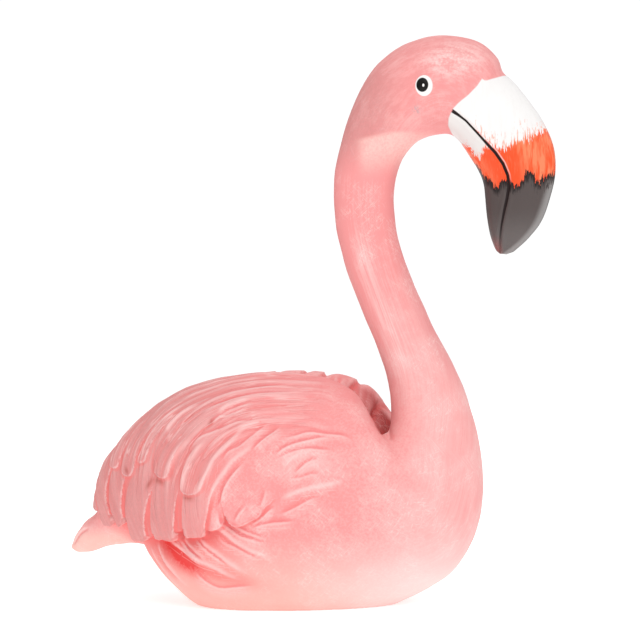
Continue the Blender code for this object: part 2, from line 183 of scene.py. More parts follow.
# Each row's name, feathers, level, how strongly and how wide its gaps are painted, and between
# which shares of the way to the tip its rims come in.
FEATHER_ROWS = [
    ("under_rim", UNDER_ROW, 0, 0.5, 2, (0.35, 0.8)),
    ("lower_rim", LOWER_ROW, 0.3, 0.85, 3.2, (0.3, 0.7)),
    ("upper_rim", UPPER_ROW, 0.3, 0.45, 2, (0.5, 0.93)),
    ("top_rim", TOP_ROW, 0.3, 0.4, 2, (0.5, 0.95)),
    ("front_rim", FRONT_ROW, 0.6, 0.4, 2, (0.35, 0.8)),
]
FEATHER_CROWN = 0.12
FEATHER_TILT = 0.4
FEATHER_EDGE = 0.7
RISE_POWER = 1.5
# Limits of what is measured on a feather: past its rim, past its tip, and nearest the hub.
FAR_FROM_RIM = 20
PAST_TIP = 1.1
NEAREST_TIP = 8
# Where a feather's edge faces the hub, which is where its rim gets a painted highlight: by v across the
# feather, and by q over its tip.
FACING_ACROSS = (0.5, -0.6)
FACING_TIP = (0.3, 0.8)
# A feather first covers what is under it while it fades in between these shares.
FADE_FIRST = (0, 0.3)
TIP_LENGTH_TO_HALF_WIDTH = 1.1
# Below the hub no feather lies: they fade out between these angles.
NO_FEATHERS_AT = (230, 260)
# Towards the shoulder the strips close in on the hub, by this share and between these angles.
CLOSING_SHARE = 0.14
CLOSING_ANGLES = (85, 145)

# Carved grooves, as points (length, girth) from one end to the other, then depth and width. Each
# has a rounded lip on its right-hand side. Grooves that run close together are in different lists.
GROOVES = [
    ([(-2, 93), (1, 97), (7, 102), (14, 107)], 1, 1.8),
    ([(15, 100), (23, 101), (31, 102), (41, 100), (52, 98), (60, 94)], 0.7, 1.5),
    ([(11, 88), (20, 92), (29, 93), (36, 92), (47, 90)], 0.7, 1.5),
    ([(20, 78), (26, 78), (33, 79), (39, 78)], 0.5, 1.4),
    ([(14, 59), (22, 62), (29, 65), (36, 67)], 0.7, 1.8),
    ([(-3, 53), (3, 57), (9, 62), (12, 62)], 1, 1.6),
    ([(-11, 55), (-8, 60), (-4, 64)], 0.6, 0.9),
    ([(3, 62), (5, 68), (6, 73)], 0.5, 1.4),
    ([(-21, 60), (-18, 70), (-16, 75), (-11, 82), (-5, 88)], 0.9, 1.2),
    ([(-22, 114), (-18, 114), (-13, 116), (-6, 119)], 0.7, 1),
    ([(-37, 93), (-32, 101), (-21, 106), (-11, 110), (1, 110)], 0.6, 1),
    ([(-55, 125), (-43, 136), (-26, 142), (-8, 145)], 0.6, 1),
    ([(-34, 115), (-21, 122), (-4, 127), (25, 128)], 0.6, 1),
    ([(-52, 14), (-59, 17), (-66, 22), (-69, 30), (-70, 36)], 0.7, 1.5),
    ([(-55, 42), (-49, 40), (-43, 36), (-36, 33), (-29, 31)], 1.1, 1.8),
    ([(-19, 61), (-18, 54), (-13, 50), (-8, 47), (0, 45), (8, 43)], 1.3, 1.8),
    ([(-40, 25), (-31, 19), (-23, 16), (-13, 17), (-1, 19)], 0.8, 2.2),
    ([(-128, 62), (-138, 61), (-148, 57)], 0.8, 1.6),
]
MORE_GROOVES = [
    ([(-19, 87), (-15, 93), (-9, 96), (-1, 103), (8, 110)], 0.7, 1.5),
    ([(10, 90), (17, 95), (25, 97), (36, 98), (44, 98)], 0.9, 1.5),
    ([(22, 80), (27, 84), (31, 86), (38, 87)], 0.7, 1.5),
    ([(-3, 51), (6, 54), (16, 55), (24, 55)], 0.8, 1.9),
    ([(-25, 107), (-24, 111), (-16, 117), (-3, 122)], 0.6, 1),
    ([(-39, 117), (-23, 127), (-5, 132), (18, 135)], 0.6, 1),
    ([(-38, 44), (-34, 41), (-29, 38), (-22, 34), (-15, 30)], 0.8, 1.8),
    ([(-22, 47), (-17, 43), (-11, 41), (-3, 37), (4, 34)], 0.6, 1.7),
    ([(-14, 56), (-8, 51), (0, 48), (8, 46)], 0.7, 1.3),
    ([(-60, 6), (-68, 12), (-75, 21), (-79, 31)], 0.5, 1.5),
]
# Sharp folds that stand up, in the same way.
RIDGES = [
    ([(14, 66), (21, 69), (31, 71), (43, 72), (52, 73)], 1, 2.1),
    ([(-70, 35), (-68, 29), (-63, 24), (-56, 20), (-51, 15), (-45, 10)], 0.7, 1.8),
    ([(-62, 38), (-59, 36), (-51, 35), (-42, 33), (-33, 31), (-25, 29), (-17, 25), (-8, 21)], 1.2, 1.6),
    ([(-26, 51), (-21, 50), (-16, 47), (-12, 44), (-5, 40), (3, 37), (11, 34)], 1.1, 1),
    ([(-25, 57), (-23, 69), (-20, 76), (-15, 83), (-11, 88), (-3, 94), (3, 102)], 0.8, 1.7),
    ([(-64, 84), (-62, 90), (-61, 95), (-58, 102), (-54, 109), (-48, 115), (-41, 122)], 0.7, 1.3),
    ([(-47, 79), (-46, 83), (-43, 90), (-39, 96), (-35, 102)], 0.6, 1.3),
    ([(-22, 113), (-18, 118), (-12, 121), (-4, 123)], 0.9, 1.7),
    ([(-46, 124), (-33, 132), (-16, 138), (4, 141)], 0.6, 1.4),
]
MORE_RIDGES = [
    ([(-34, 66), (-28, 75), (-25, 80), (-23, 87), (-20, 91), (-15, 96), (-7, 105), (3, 111)], 0.8, 1.5),
    ([(-49, 101), (-48, 106), (-44, 112), (-40, 117), (-33, 123)], 0.9, 1.5),
    ([(-39, 72), (-39, 79), (-37, 87), (-33, 92), (-26, 101)], 0.5, 1.1),
    ([(-36, 46), (-31, 41), (-23, 37), (-17, 33), (-12, 30), (-5, 25)], 1, 1.6),
    ([(-48, 42), (-42, 38), (-35, 35), (-28, 32)], 0.8, 1.4),
    ([(-77, 31), (-73, 23), (-66, 16), (-60, 10), (-53, 4)], 0.6, 1.6),
    ([(-84, 100), (-78, 112), (-68, 124), (-55, 134)], 0.6, 1.3),
    ([(16, 85), (24, 89), (33, 91)], 0.7, 2),
]
# Drawn lines come in and go out over these shares of their length. Their gap is kept this far.
LINE_ENDS = ((0, 0.2), (0.7, 1))
LINE_REACH = 4
DEEP_FOLD_DEPTH = 2.6
# Soft spots: their middle, direction in degrees, half length and half width. A deep shadowed fold
# below the wing, painted with shade, a soft fold ahead of it that is only painted shade, and a
# painted highlight on the shoulder.
DEEP_FOLD = ((-50, 31.5), -20, 17, 6.5)
SOFT_FOLD_SHADE = ((-19, 23.5), -14, 19, 5)
SHOULDER_HIGHLIGHT = ((31, 84), 5, 16, 9)
# Small dark shadows under the tips of the upper feathers.
SHADOWS = [
    ((-54, 74), -10, 3.6, 1.7),
    ((-60, 71.5), 60, 3, 1),
    ((-74, 78), 110, 2.2, 0.9),
    ((-37, 67), -8, 3.6, 1.3),
    ((-25, 109.5), 60, 2.4, 1),
    ((-61, 91), 40, 1.1, 0.9),
]

# Lower edge of the wing, as girth at a length along the side, without its feather tips.
WING_EDGE_AT = [-119, -112, -100, -88, -66, -45, -30, -18, -6, 12, 60]
WING_EDGE_GIRTH = [72, 62, 54, 50, 50, 52, 54, 56, 60, 60, 40]
WING_REAR_AT = (-119.5, -116.5)
WING_FADES_AT = (5, 35)
RECESS_AT = [-151, -135, -120, -100, -80, -60, -40, -22, -8, 4, 16]
RECESS_DEPTH = [0, 0.5, 3, 5, 7, 8.5, 7, 5, 2.6, 0.8, 0]
RECESS_TOP_AT = [-119, -66, -30, 12]
RECESS_TOP_GIRTH = [50, 42, 46, 58]
RECESS_FADE_AT = [-110, -85, -50, 0]
RECESS_FADE = [60, 22, 14, 10]

# Scalloped feathers along the inner edge of each wing, beside the hollow behind the neck. Each
# notch is a length along the side, and the girths are from the crest of the wing.
SCALLOP_NOTCHES = [-38, -22, -6, 11, 23, 46, 66, 86]
SCALLOP_PITCH = 17
SCALLOP_HEIGHT = 3.4
SCALLOPS_GROW = (-60, 60)
SCALLOP_DROP = 0.1
SCALLOP_CLIMB = 0.4
SCALLOP_MIDDLE = 0.8
SCALLOP_GROOVE = 1.3
SCALLOP_GROOVE_WIDTH = 1.5
# Ribs on the inner face of the wing, which begins between these girths: size across, along, height.
RIBS = (2.6, 30, 2)
INNER_FACE = (2, 10)
SCALLOPS_ALONG = ((-30, -10), (76, 88))
# On the left wing, whose inner edge the photo shows, they start on the crest itself. On the right
# wing, which shows a smooth crest, they start inside it.
SCALLOPS_START = {"left": (-7, -1), "right": (3, 9)}
SCALLOPS_END = (14, 27)
SCALLOP_SLANT = 0.4

# Hand-made unevenness: wave vectors in radians per millimetre, phase and height.
UNEVEN_WAVES = [
    ((0.11, 0.17, 0.05), 0.3, 0.16),
    ((-0.21, 0.12, 0.19), 1.7, 0.1),
    ((0.31, -0.23, 0.11), 2.9, 0.07),
    ((0.12, 0.35, -0.33), 4.1, 0.05),
    ((0.52, 0.21, 0.4), 5.2, 0.03),
]
# Combed locks of the wing: size across the flow, along it, and height.
COMBED = [(5, 55, 1), (2.9, 34, 0.8)]
COMBED_MIDDLE = 0.4
# They end ahead between these lengths, and earlier below this girth.
COMBED_ENDS = (18, 52)
COMBED_ABOVE = 95
# Distance from the hub at which a sweep round it is measured.
SWEEP_RADIUS = 60
# Where the feathers, combed locks, other carving and the wing's paint begin, as distances from the
# hub. Between these angles the locks get fainter by this share.
FEATHERS_FROM = (8, 16)
COMBED_FROM = (40, 52)
CARVED_FROM = (6, 18)
WING_PAINT_FROM = (38, 52)
LESS_COMBED = (0.75, (166, 178))
# A band past the wing's crest has no locks from this length on.
CREST_BAND = (-2, 4)
CREST_BAND_FROM = (-30, -10)
# Where painted shade darkens the hollow behind the neck, and where the recess under the wing gets
# a rose that is partly wash and partly painted shade.
HOLLOW_PAST_CREST = (1, 8)
HOLLOW_FROM = (30, 72)
HOLLOW_UNTIL = (88, 100)
RECESS_PAINT_FROM = (-118, -90)
# Reach of the blur that finds low and high places, and the depths at which their paint is full:
# a rose in the low places that is partly wash and partly painted shade, and a pale pink on the
# high ones that is partly dry-brush and partly painted highlight.
CAVITY_REACH = 5
FULL_LOW = 0.55
FULL_HIGH = 0.6
FULL_RECESS = 5
# How far the feathers' edges wander from their drawn lines: sizes of the waves and distance.
WANDER = (10, 16, 1.6)
NOISE_SEED = 5
NOISE_GRID = (61, 67)

# Painted eye, as x and z on the side of the head: centres and half sizes.
EYE = (66.9, 284.6)
EYE_HALF = (4.75, 5.7)
PUPIL = (66.1, 285)
PUPIL_HALF = (3.35, 3.9)
GLINT = (66.7, 284.7)
GLINT_HALF = (0.6, 0.85)
EYE_RISE = 0.9
EYE_RIM = (0.86, 1.14)

# Lines of the beak, as x and z on its side, from the forehead or from the mouth's corner.
FACE_EDGE = [
    (113, 292.5), (108, 289.9), (104.7, 288.2), (99.8, 286.1), (98, 287.4), (95.4, 283.4),
    (90.4, 278.5), (85.2, 274.7), (81.8, 271.5), (79, 266.8), (78.1, 263.1), (78.9, 259.9),
    (80, 254),
]
MOUTH = [
    (80.9, 270.9), (84.2, 268.5), (88.4, 265), (94, 258.4), (99, 252.4), (103.6, 247.1),
    (107.6, 240.8), (109.9, 234.6), (110.5, 229), (109, 222), (107, 215), (105.2, 208),
    (104.1, 202), (103.3, 196), (102.6, 188),
]
ORANGE_TOP_UPPER = [(95, 258), (97.5, 255), (101.4, 252), (106.9, 248.6), (111.4, 250),
                    (116, 253.6), (121.6, 254.4), (126.1, 256), (130.1, 259.5), (135, 262)]
ORANGE_TOP_LOWER = [(86, 253.5), (89, 252), (91.7, 247), (94.5, 244.6), (97.1, 249),
                    (99.7, 251.5), (103, 248), (110, 246)]
BLACK_TOP = [(88, 246), (91, 242.5), (94.3, 239), (96.7, 235.1), (99.8, 232.9),
             (103.6, 228.3), (106.5, 232.6), (110.4, 231.5), (114.9, 228.8), (117.7, 232.5),
             (121.7, 236.6), (125.5, 230.6), (130, 234), (135, 235.6)]
MOUTH_DEPTH = 0.9
MOUTH_WIDTH = 0.8
MOUTH_ENDS = ((-0.01, 0.02), (0.93, 1))
# Lips of the mouth: height, distance from its line and width.
LIPS = [(0.35, 1.8, 1.3), (0.25, -1.9, 1.3)]
# The beak begins between these rings, and its surface is more even than the rest by this share.
BEAK_FROM = (34, 35)
MORE_EVEN = 0.7

# Paints, as linear colours.
PINK = (0.86, 0.314, 0.308, 1)
PALE_PINK = (0.92, 0.56, 0.54, 1)
BLUSH_WHITE = (0.93, 0.76, 0.73, 1)
PEACH_AND_FLOOR_BOUNCE = (0.94, 0.55, 0.48, 1)
ROSE = (0.78, 0.12, 0.11, 1)
SHADE_ROSE = (0.79, 0.045, 0.04, 1)
NECK_EDGE_SHADE_PINK = (0.74, 0.24, 0.24, 1)
PALE_PEACH = (0.95, 0.58, 0.53, 1)
HOLLOW_SHADE_ROSE = (0.44, 0.06, 0.056, 1)
SHADOW_BROWN = (0.46, 0.1, 0.085, 1)
WASH_AND_SHADE_ROSE = (0.84, 0.19, 0.18, 1)
GROOVE_WASH_AND_SHADE_ROSE = (0.8, 0.2, 0.21, 1)
HIGHLIGHT_PINK = (0.94, 0.64, 0.62, 1)
DUSKY_AND_SHADE_PINK = (0.58, 0.24, 0.23, 1)
SMUDGE_GREY = (0.42, 0.36, 0.38, 1)
WHITE = (0.84, 0.82, 0.81, 1)
CREAM_GREY = (0.75, 0.73, 0.71, 1)
RED_ORANGE = (0.89, 0.085, 0.022, 1)
SALMON = (0.93, 0.24, 0.115, 1)
BLACK = (0.084, 0.066, 0.063, 1)
SOOT = (0.012, 0.008, 0.008, 1)
GREY_AND_SHEEN_BLACK = (0.27, 0.255, 0.25, 1)
PUPIL_BLACK = (0.006, 0.006, 0.006, 1)
MOUTH_BROWN = (0.012, 0.004, 0.004, 1)
FLOOR_WHITE = (0.9, 0.9, 0.9, 1)

# Noise patterns of the brush: where each is read, how it is stretched, its detail and roughness.
PATTERNS = {
    "strokes": ("along", (0.045, 1.1, 0.05), 3, 0.6),
    "swept": ("across", (0.05, 0.9, 0.05), 4, 0.65),
    "grain": ("place", (0.75, 0.75, 0.75), 3, 0.7),
    "cloudy": ("place", (0.05, 0.05, 0.05), 3, 0.55),
    "mottle": ("along", (0.12, 0.25, 0.1), 4, 0.7),
    "spots": ("place", (0.9, 0.9, 0.9), 3, 0.7),
    "fine_lines": ("across", (0.022, 0.34, 0.05), 2, 0.5),
    "one_way": ("askew", (0.035, 0.5, 0.05), 2, 0.5),
    "other_way": ("askew", (0.4, 0.05, 0.05), 2, 0.5),
    "highlight_breaks": ("place", (0.35, 0.35, 0.35), 3, 0.7),
    "streaks": ("place", (0.95, 0.95, 0.1), 3, 0.7),
    "blotches": ("place", (0.45, 0.45, 0.06), 3, 0.6),
}
# Strokes run upright above one height and ahead of one length. A painted highlight runs down the
# neck along this girth.
UPRIGHT_ABOVE = (95, 140)
UPRIGHT_AHEAD = (45, 75)
HIGHLIGHT_BAND_GIRTH = 61
# The jaw's height rises from one x to another.
JAW_HEIGHT = (28, 52, 259.3, 262.3)
# The smudge below the eye, and the forehead whose pale dabs are also a painted highlight on top of
# the head, as centre and half sizes in x and z.
SMUDGE = ((62.1, 272.3), (3.2, 3.2))
FOREHEAD = ((82, 298), (20, 12))
# How far painted edges shake, how far the beak's tint runs ahead of its orange, and how ragged the
# orange and the black are, in millimetres.
SHAKY_EDGE = 1.2
TINT_BEFORE = 3.5
ORANGE_RAGGED = 19
BLACK_RAGGED = 17
PINK_ROUGHNESS = 0.6
GLOSS_ROUGHNESS = 0.3
SPECULAR = 0.2
BUMP_METRES = 0.0004

# How pale the pink is: a sum of products, each with its strongest share and the ramps that bound it.
# A ramp is a source, the values where it begins and ends, and the shares there if not 0 and 1.
PALENESS = [
    (0.25, ("cloudy", 0.35, 0.7)),
    (0.35, ("x", 15, 70), ("z", 235, 130)),
    (1, ("brushed", 0.35, 0.65, -0.1, 0.13)),
    # A painted highlight down the middle of the neck, in upright strokes.
    (1, ("from_highlight_band", 9, 1), ("z", 105, 140), ("z", 222, 192), ("strokes", 0.3, 0.65, 0.12, 0.5)),
    (1, ("grain", 0.3, 0.7, -0.05, 0.05)),
    (-0.14, ("z", 175, 205)),
    (0.35, ("z", 277, 262), ("x", 35, 62), ("z", 235, 255)),
    (0.4, ("x", -108, -122)),
    # A painted highlight on the shoulder.
    (0.35, ("shoulder_highlight",)),
]
# The coats laid over it in this order: the paint, its strongest share and its ramps. The fine lines
# are combed ones on the wing: a thin valley where the noise crosses its middle, and a pale edge.
COATS = {
    # Peach under the tail, partly peach paint and partly painted bounce light from the floor.
    "under the tail": (PEACH_AND_FLOOR_BOUNCE, 0.8, ("x", -104, -118), ("z", 46, 36)),
    "on the tail": (ROSE, 0.35, ("x", -104, -118), ("z", 41, 52)),
    # Painted shade on the edges of the neck, where they turn away from the light.
    "edges of the neck": (NECK_EDGE_SHADE_PINK, 0.5, ("from_side", 11, 25), ("z", 110, 150), ("z", 292, 258, 0.2, 1)),
    # Dusky paint at the back of the head, which is also painted shade where it turns away from the light.
    "back of the head": (DUSKY_AND_SHADE_PINK, 0.6, ("x", 62, 34), ("z", 235, 262), ("z", 306, 284, 0.35, 1),
                         ("grain", 0.3, 0.7, 0.8, 1.15)),
    "dull mottling": (DUSKY_AND_SHADE_PINK, 1, ("z", 256, 272), ("mottle", 0.65, 0.35, 0.05, 0.2)),
    "chalky mottling": (BLUSH_WHITE, 0.12, ("z", 256, 272), ("mottle", 0.4, 0.7)),
    "under the jaw": (PALE_PEACH, 0.85, ("above_jaw", -26, -7), ("above_jaw", 0.5, -3), ("x", 24, 34),
                      ("x", 76, 52), ("grain", 0.25, 0.65, 0.5, 1)),
    "smudge": (SMUDGE_GREY, 0.6, ("from_smudge", 1.2, 0.3), ("spots", 0.4, 0.65)),
    # Pale dabs on the forehead, partly paint and partly a painted highlight on top of the head.
    "forehead": (BLUSH_WHITE, 1, ("from_forehead", 1.3, 0.2), ("dabbed", 0.8, 1.25, 0.1, 0.6)),
    # Dusky paint on the rear of the wing, which is also painted shade where it turns away from the light.
    "rear of the wing": (DUSKY_AND_SHADE_PINK, 1, ("x", -10, -88), ("on_wing",), ("dusty", 0.3, 0.7, 0.4, 0.75)),
    # A rose in the recess under the wing, partly wash and partly painted shade.
    "recess": (ROSE, 0.6, ("recess",)),
    "deep fold": (SHADE_ROSE, 1, ("deep",), ("grain", 0.3, 0.7, 1.3, 2)),
    # Painted shade of the soft fold ahead of the deep one, which is not carved.
    "soft fold": (ROSE, 0.55, ("soft_fold_shade",)),
    # Painted shade in the hollow behind the neck.
    "hollow": (HOLLOW_SHADE_ROSE, 1, ("hollow",)),
    "shadows": (SHADOW_BROWN, 0.9, ("shadow",)),
    # Low places and the fine lines' valleys get a rose that is partly wash and partly painted shade, high
    # places and the lines' edges a pale pink that is partly dry-brush and partly painted highlight.
    "low places": (WASH_AND_SHADE_ROSE, 0.45, ("low_place",)),
    "high places": (PALE_PINK, 1, ("high_place",), ("brushed", 0.3, 0.6, 0.3, 0.75)),
    "fine lines": (WASH_AND_SHADE_ROSE, 0.4, ("fine_lines", 0.478, 0.495), ("fine_lines", 0.515, 0.498), ("patchy",)),
    "their edges": (PALE_PINK, 0.6, ("fine_lines", 0.505, 0.52), ("fine_lines", 0.56, 0.53), ("patchy",)),
}

# Camera and lights. Angles in degrees and distances in metres.
CAMERA_AZIMUTH = 13.5
CAMERA_DISTANCE = 1.0037
CAMERA_HEIGHT = 0.138
CAMERA_PITCH = 1.18
CAMERA_ROLL = -1.4
LENS_MM = 100
# The studio's dome: strength from one height of the sky to another, and the backdrop's.
DOME = (0.05, 0.6, 0.2, 0.95)
BACKDROP_STRENGTH = 1.05
# The table's glow and half its side, and the height that the lights aim at, in metres.
TABLE_GLOW = 0.45
FLOOR_HALF = 4
AIM_HEIGHT = 0.14
# Key light: azimuth and elevation in degrees, distance and size in metres, power in watts.
KEY_LIGHT = (20, 35, 1.5, 0.8, 6.5)


def ease(low, high, value):
    """0 below low, 1 above high, and the smooth cubic 3k^2 - 2k^3 between them."""
    k = np.clip((value - low) / (high - low), 0, 1)
    return k * k * (3 - 2 * k)


def between(rise, fall, value):
    """1 between two stretches: it rises over the first one and falls over the second."""
    return ease(*rise, value) * (1 - ease(*fall, value))


def smooth_curve(points, places):
    """Points at fractional places along a smooth curve (Catmull-Rom) through the given ones."""
    first = np.clip(np.floor(places).astype(int), 0, len(points) - 2)
    k = (places - first)[:, None]
    rows = np.vstack((2 * points[0] - points[1], points, 2 * points[-1] - points[-2]))
    a, b, c, d = (rows[first + step] for step in range(4))
    curve = 2 * b + (c - a) * k + (2 * a - 5 * b + 4 * c - d) * k ** 2
    return 0.5 * (curve + (3 * b - a - 3 * c + d) * k ** 3)


def bare_surface(places, angles):
    """One side of the bird without its carving, one row of points to a ring.

    A point at an angle stands, from the widest height m, a share (1 - m) |sin|^(2/n) up to the
    back or m |sin|^(2/n) down to the belly, and w |cos|^(2/n) out from the mid plane. The hollow
    between the wings lowers the points near the mid plane, and a bell-shaped dip those beside the
    root of the neck.
    """
    values = smooth_curve(RINGS, places)
    belly = values[:, 0:2]
    back = values[:, 2:4]
    half_width, widest, low_square, high_square, hollow = (values[:, i][:, None] for i in range(4, 9))
    sine = np.sin(angles)
    square = np.where(sine >= 0, high_square, low_square)
    rise = np.abs(sine) ** (2 / square)
    out = half_width * np.abs(np.cos(angles)) ** (2 / square)
    share = np.where(sine >= 0, widest + (1 - widest) * rise, widest - widest * rise)
    way = back - belly
    length = np.linalg.norm(way, axis=1)[:, None]
    near_middle = 1 - ease(0, 1, out / HALF_HOLLOW)
    high_part = np.clip(HOLLOW_SLOPE * rise - HOLLOW_START, 0, 1) * (sine > 0)
    share = share - np.maximum(hollow, 0) / length * near_middle * high_part
    x = belly[:, 0:1] + way[:, 0:1] * share
    z = belly[:, 1:2] + way[:, 1:2] * share
    depth, (dip_x, dip_out), (half_x, half_out) = DIP
    dip = depth * np.exp(-((x - dip_x) / half_x) ** 2 - ((out - dip_out) / half_out) ** 2)
    behind = places[:, None] < DIP_UNTIL
    return np.stack([x, out, z - dip * ease(*DIP_ABOVE, z) * behind], axis=-1)


def side_angles(count):
    """Angles of the points on one side, from the belly to the back, closer together on the wing."""
    hull = int(round(count * (1 - WING_SHARE)))
    lower = np.linspace(-0.5 * np.pi, WING_EDGE_ANGLE, hull, endpoint=False)
    upper = np.linspace(WING_EDGE_ANGLE, 0.5 * np.pi, count - hull)
    return np.concatenate([lower, upper])


def even_places(start, end, count, closer):
    """Ring numbers from start to end, even along the surface but closer within a stretch."""
    fine = np.linspace(start, end, FINE_STEPS * count)
    angles = np.linspace(-0.5 * np.pi, 0.5 * np.pi, POINTS_ROUND)
    angles = np.broadcast_to(angles, (len(fine), POINTS_ROUND))
    steps = np.linalg.norm(np.diff(bare_surface(fine, angles), axis=0), axis=2)
    middles = 0.5 * (fine[1:] + fine[:-1])
    rise, fall, by = closer
    weight = 1 + by * between(rise, fall, middles)
    travel = np.cumsum((0.5 * steps.max(axis=1) + 0.5 * steps.mean(axis=1)) * weight)
    travel = np.concatenate([[0], travel])
    return np.interp(np.linspace(0, travel[-1], count), travel, fine)


def unrolled(points):
    """Length along the side and girth from the base of each point, as if the side lay flat."""
    side = int(np.argmax(points[len(points) // 2, :, 1]))
    along = np.linalg.norm(np.diff(points[:, side], axis=0), axis=1)
    length = SIDE_LINE_START + np.concatenate([[0], np.cumsum(along)])
    around = np.linalg.norm(np.diff(points, axis=1), axis=2)
    girth = np.concatenate([np.zeros((len(points), 1)), np.cumsum(around, axis=1)], axis=1)
    girth = girth - girth[:, side:side + 1] + SIDE_LINE_GIRTH
    return np.broadcast_to(length[:, None], girth.shape), girth


def near_line(across, up, line):
    """Signed distance to a line of points, positive on its left, and the share of it passed."""
    line = np.array(line, dtype=float)
    starts, ways = line[:-1], np.diff(line, axis=0)
    spans = np.linalg.norm(ways, axis=1)
    before = np.concatenate([[0], np.cumsum(spans)])
    best = np.full(across.shape, np.inf)
    signed = np.zeros(across.shape)
    passed = np.zeros(across.shape)
    for start, way, span, travelled in zip(starts, ways, spans, before):
        east, north = across - start[0], up - start[1]
        along = (east * way[0] + north * way[1]) / span
        aside = (way[0] * north - way[1] * east) / span
        held = np.clip(along, 0, span)
        gap = np.hypot(aside, along - held)
        # At a corner two stretches are equally near, and the one seen more squarely gives the side.
        closer = (gap < best - 1e-6) | ((gap < best + 1e-6) & (np.abs(aside) > np.abs(signed)))
        best = np.where(closer, gap, best)
        signed = np.where(closer, aside, signed)
        passed = np.where(closer, (travelled + along) / before[-1], passed)
    return np.sign(signed) * best, passed


def rounded(line):
    """A line of points with its corners rounded, on a smooth curve of short steps."""
    line = np.array(line, dtype=float)
    stretches = len(line) - 1
    return smooth_curve(line, np.linspace(0, stretches, STEPS_A_STRETCH * stretches + 1))


def round_hub(length, girth):
    """Distance from the wing's hub, and angle round it in degrees: 90 is up and 180 straight back.

    Towards the shoulder the distance is divided by a share below 1, so that strips of one distance
    close in on the hub there.
    """
    ahead = length - HUB[0]
    above = girth - HUB[1]
    angle = 180 - np.degrees(np.arctan2(above, -ahead))
    angle = np.where(angle > LAST_ANGLE, angle - 360, angle)
    closing = 1 - CLOSING_SHARE * (1 - ease(*CLOSING_ANGLES, angle))
    return np.hypot(ahead, above) / closing, angle


def feather_shape(distance, angle, feather, fades):
    """Millimetres past a feather's rim, its height, how far it has faded in, and its hub side.

    Across a feather v runs from -1 to 1 and q from 0 to 1 over its tip, and its rim is where
    |v|^s + q^s = 1. It rises from root to tip, with a crown of (1 - v^2) and a tilt of -v. The hub
    side is 1 where the feather's edge faces the hub or its tip.
    """
    root, root_angle, tip, tip_angle, half_root, half_tip, lift, square = feather
    way = np.clip((angle - root_angle) / (tip_angle - root_angle), 0, PAST_TIP)
    on_way = np.minimum(way, 1)
    half = half_root + (half_tip - half_root) * on_way
    v = (distance - root - (tip - root) * way) / half
    before_tip = np.radians(tip_angle - angle) * np.maximum(distance, NEAREST_TIP)
    q = np.clip(1 - before_tip / (TIP_LENGTH_TO_HALF_WIDTH * half), 0, 2)
    rim = (np.abs(v) ** square + q ** square) ** (1 / square)
    past_rim = np.clip((rim - 1) * half, -FAR_FROM_RIM, FAR_FROM_RIM)
    v = np.clip(v, -1, 1)
    rise = lift * on_way ** RISE_POWER + FEATHER_CROWN * (1 - v ** 2) - FEATHER_TILT * v
    hub_side = np.maximum(ease(*FACING_ACROSS, v), ease(*FACING_TIP, q))
    return past_rim, rise, ease(*fades, way) * (1 - ease(*NO_FEATHERS_AT, angle)), hub_side


def feather_relief(distance, angle):
    """Height of the rows of feathers, where any lies, and masks for the lines along their rims."""
    height = np.zeros_like(distance)
    covered = np.zeros_like(distance)
    masks = {"facing": np.zeros_like(distance)}
    for name, row, level, _, _, fades in FEATHER_ROWS:
        shapes = [feather_shape(distance, angle, feather, fades) for feather in row]
        nearest = np.argmin([shape[0] for shape in shapes], axis=0)
        rim, rise, fade, hub_side = (
            np.choose(nearest, [shape[i] for shape in shapes]) for i in range(4))
        inside = (1 - ease(-FEATHER_EDGE, FEATHER_EDGE, rim)) * ease(*FADE_FIRST, fade)
        height = height * (1 - inside) + (level + rise) * fade * inside
        covered = np.maximum(covered, inside)
        masks["facing"] = np.where(rim < FEATHER_EDGE, hub_side, masks["facing"])
        masks[name] = rim
        masks[name + "_fade"] = fade
    return height, covered, masks


def groove_profile(gap, depth, width):
    """A groove -exp(-d^2) beside a rounded lip 0.6 exp(-((d + 1.6) / 1.4)^2), d = gap / width."""
    d = gap / width
    return depth * (0.6 * np.exp(-((d + 1.6) / 1.4) ** 2) - np.exp(-d ** 2))


def ridge_profile(gap, depth, width):
    """A fold that stands up as exp(-|d|^1.5), d = gap / width."""
    return depth * np.exp(-np.abs(gap / width) ** 1.5)


def line_relief(length, girth, lines, profile):
    """Height of lines drawn one by one, with the signed gap to the nearest one and its strength."""
    height = np.zeros_like(girth)
    nearest = np.full(girth.shape, LINE_REACH)
    strength = np.zeros_like(girth)
    for line, depth, width in lines:
        gap, way = near_line(length, girth, rounded(line))
        window = between(*LINE_ENDS, way)
        height = height + window * profile(gap, depth, width)
        closer = np.abs(gap) < np.abs(nearest)
        nearest = np.where(closer, gap, nearest)
        strength = np.where(closer, window * min(1, depth), strength)
    return height, nearest, strength


# Each set of lines: its attribute's name, lines and profile.
LINE_SETS = [
    ("groove", GROOVES, groove_profile),
    ("second_groove", MORE_GROOVES, groove_profile),
    ("fold", RIDGES, ridge_profile),
    ("second_fold", MORE_RIDGES, ridge_profile),
]


def soft_spot(length, girth, spot):
    """exp(-a^2 - b^2) about a middle, a along a direction and b across it in half sizes."""
    (middle_length, middle_girth), direction, half_long, half_wide = spot
    turn = np.radians(direction)
    east, north = length - middle_length, girth - middle_girth
    a = (east * np.cos(turn) + north * np.sin(turn)) / half_long
    b = (north * np.cos(turn) - east * np.sin(turn)) / half_wide
    return np.exp(-a ** 2 - b ** 2)


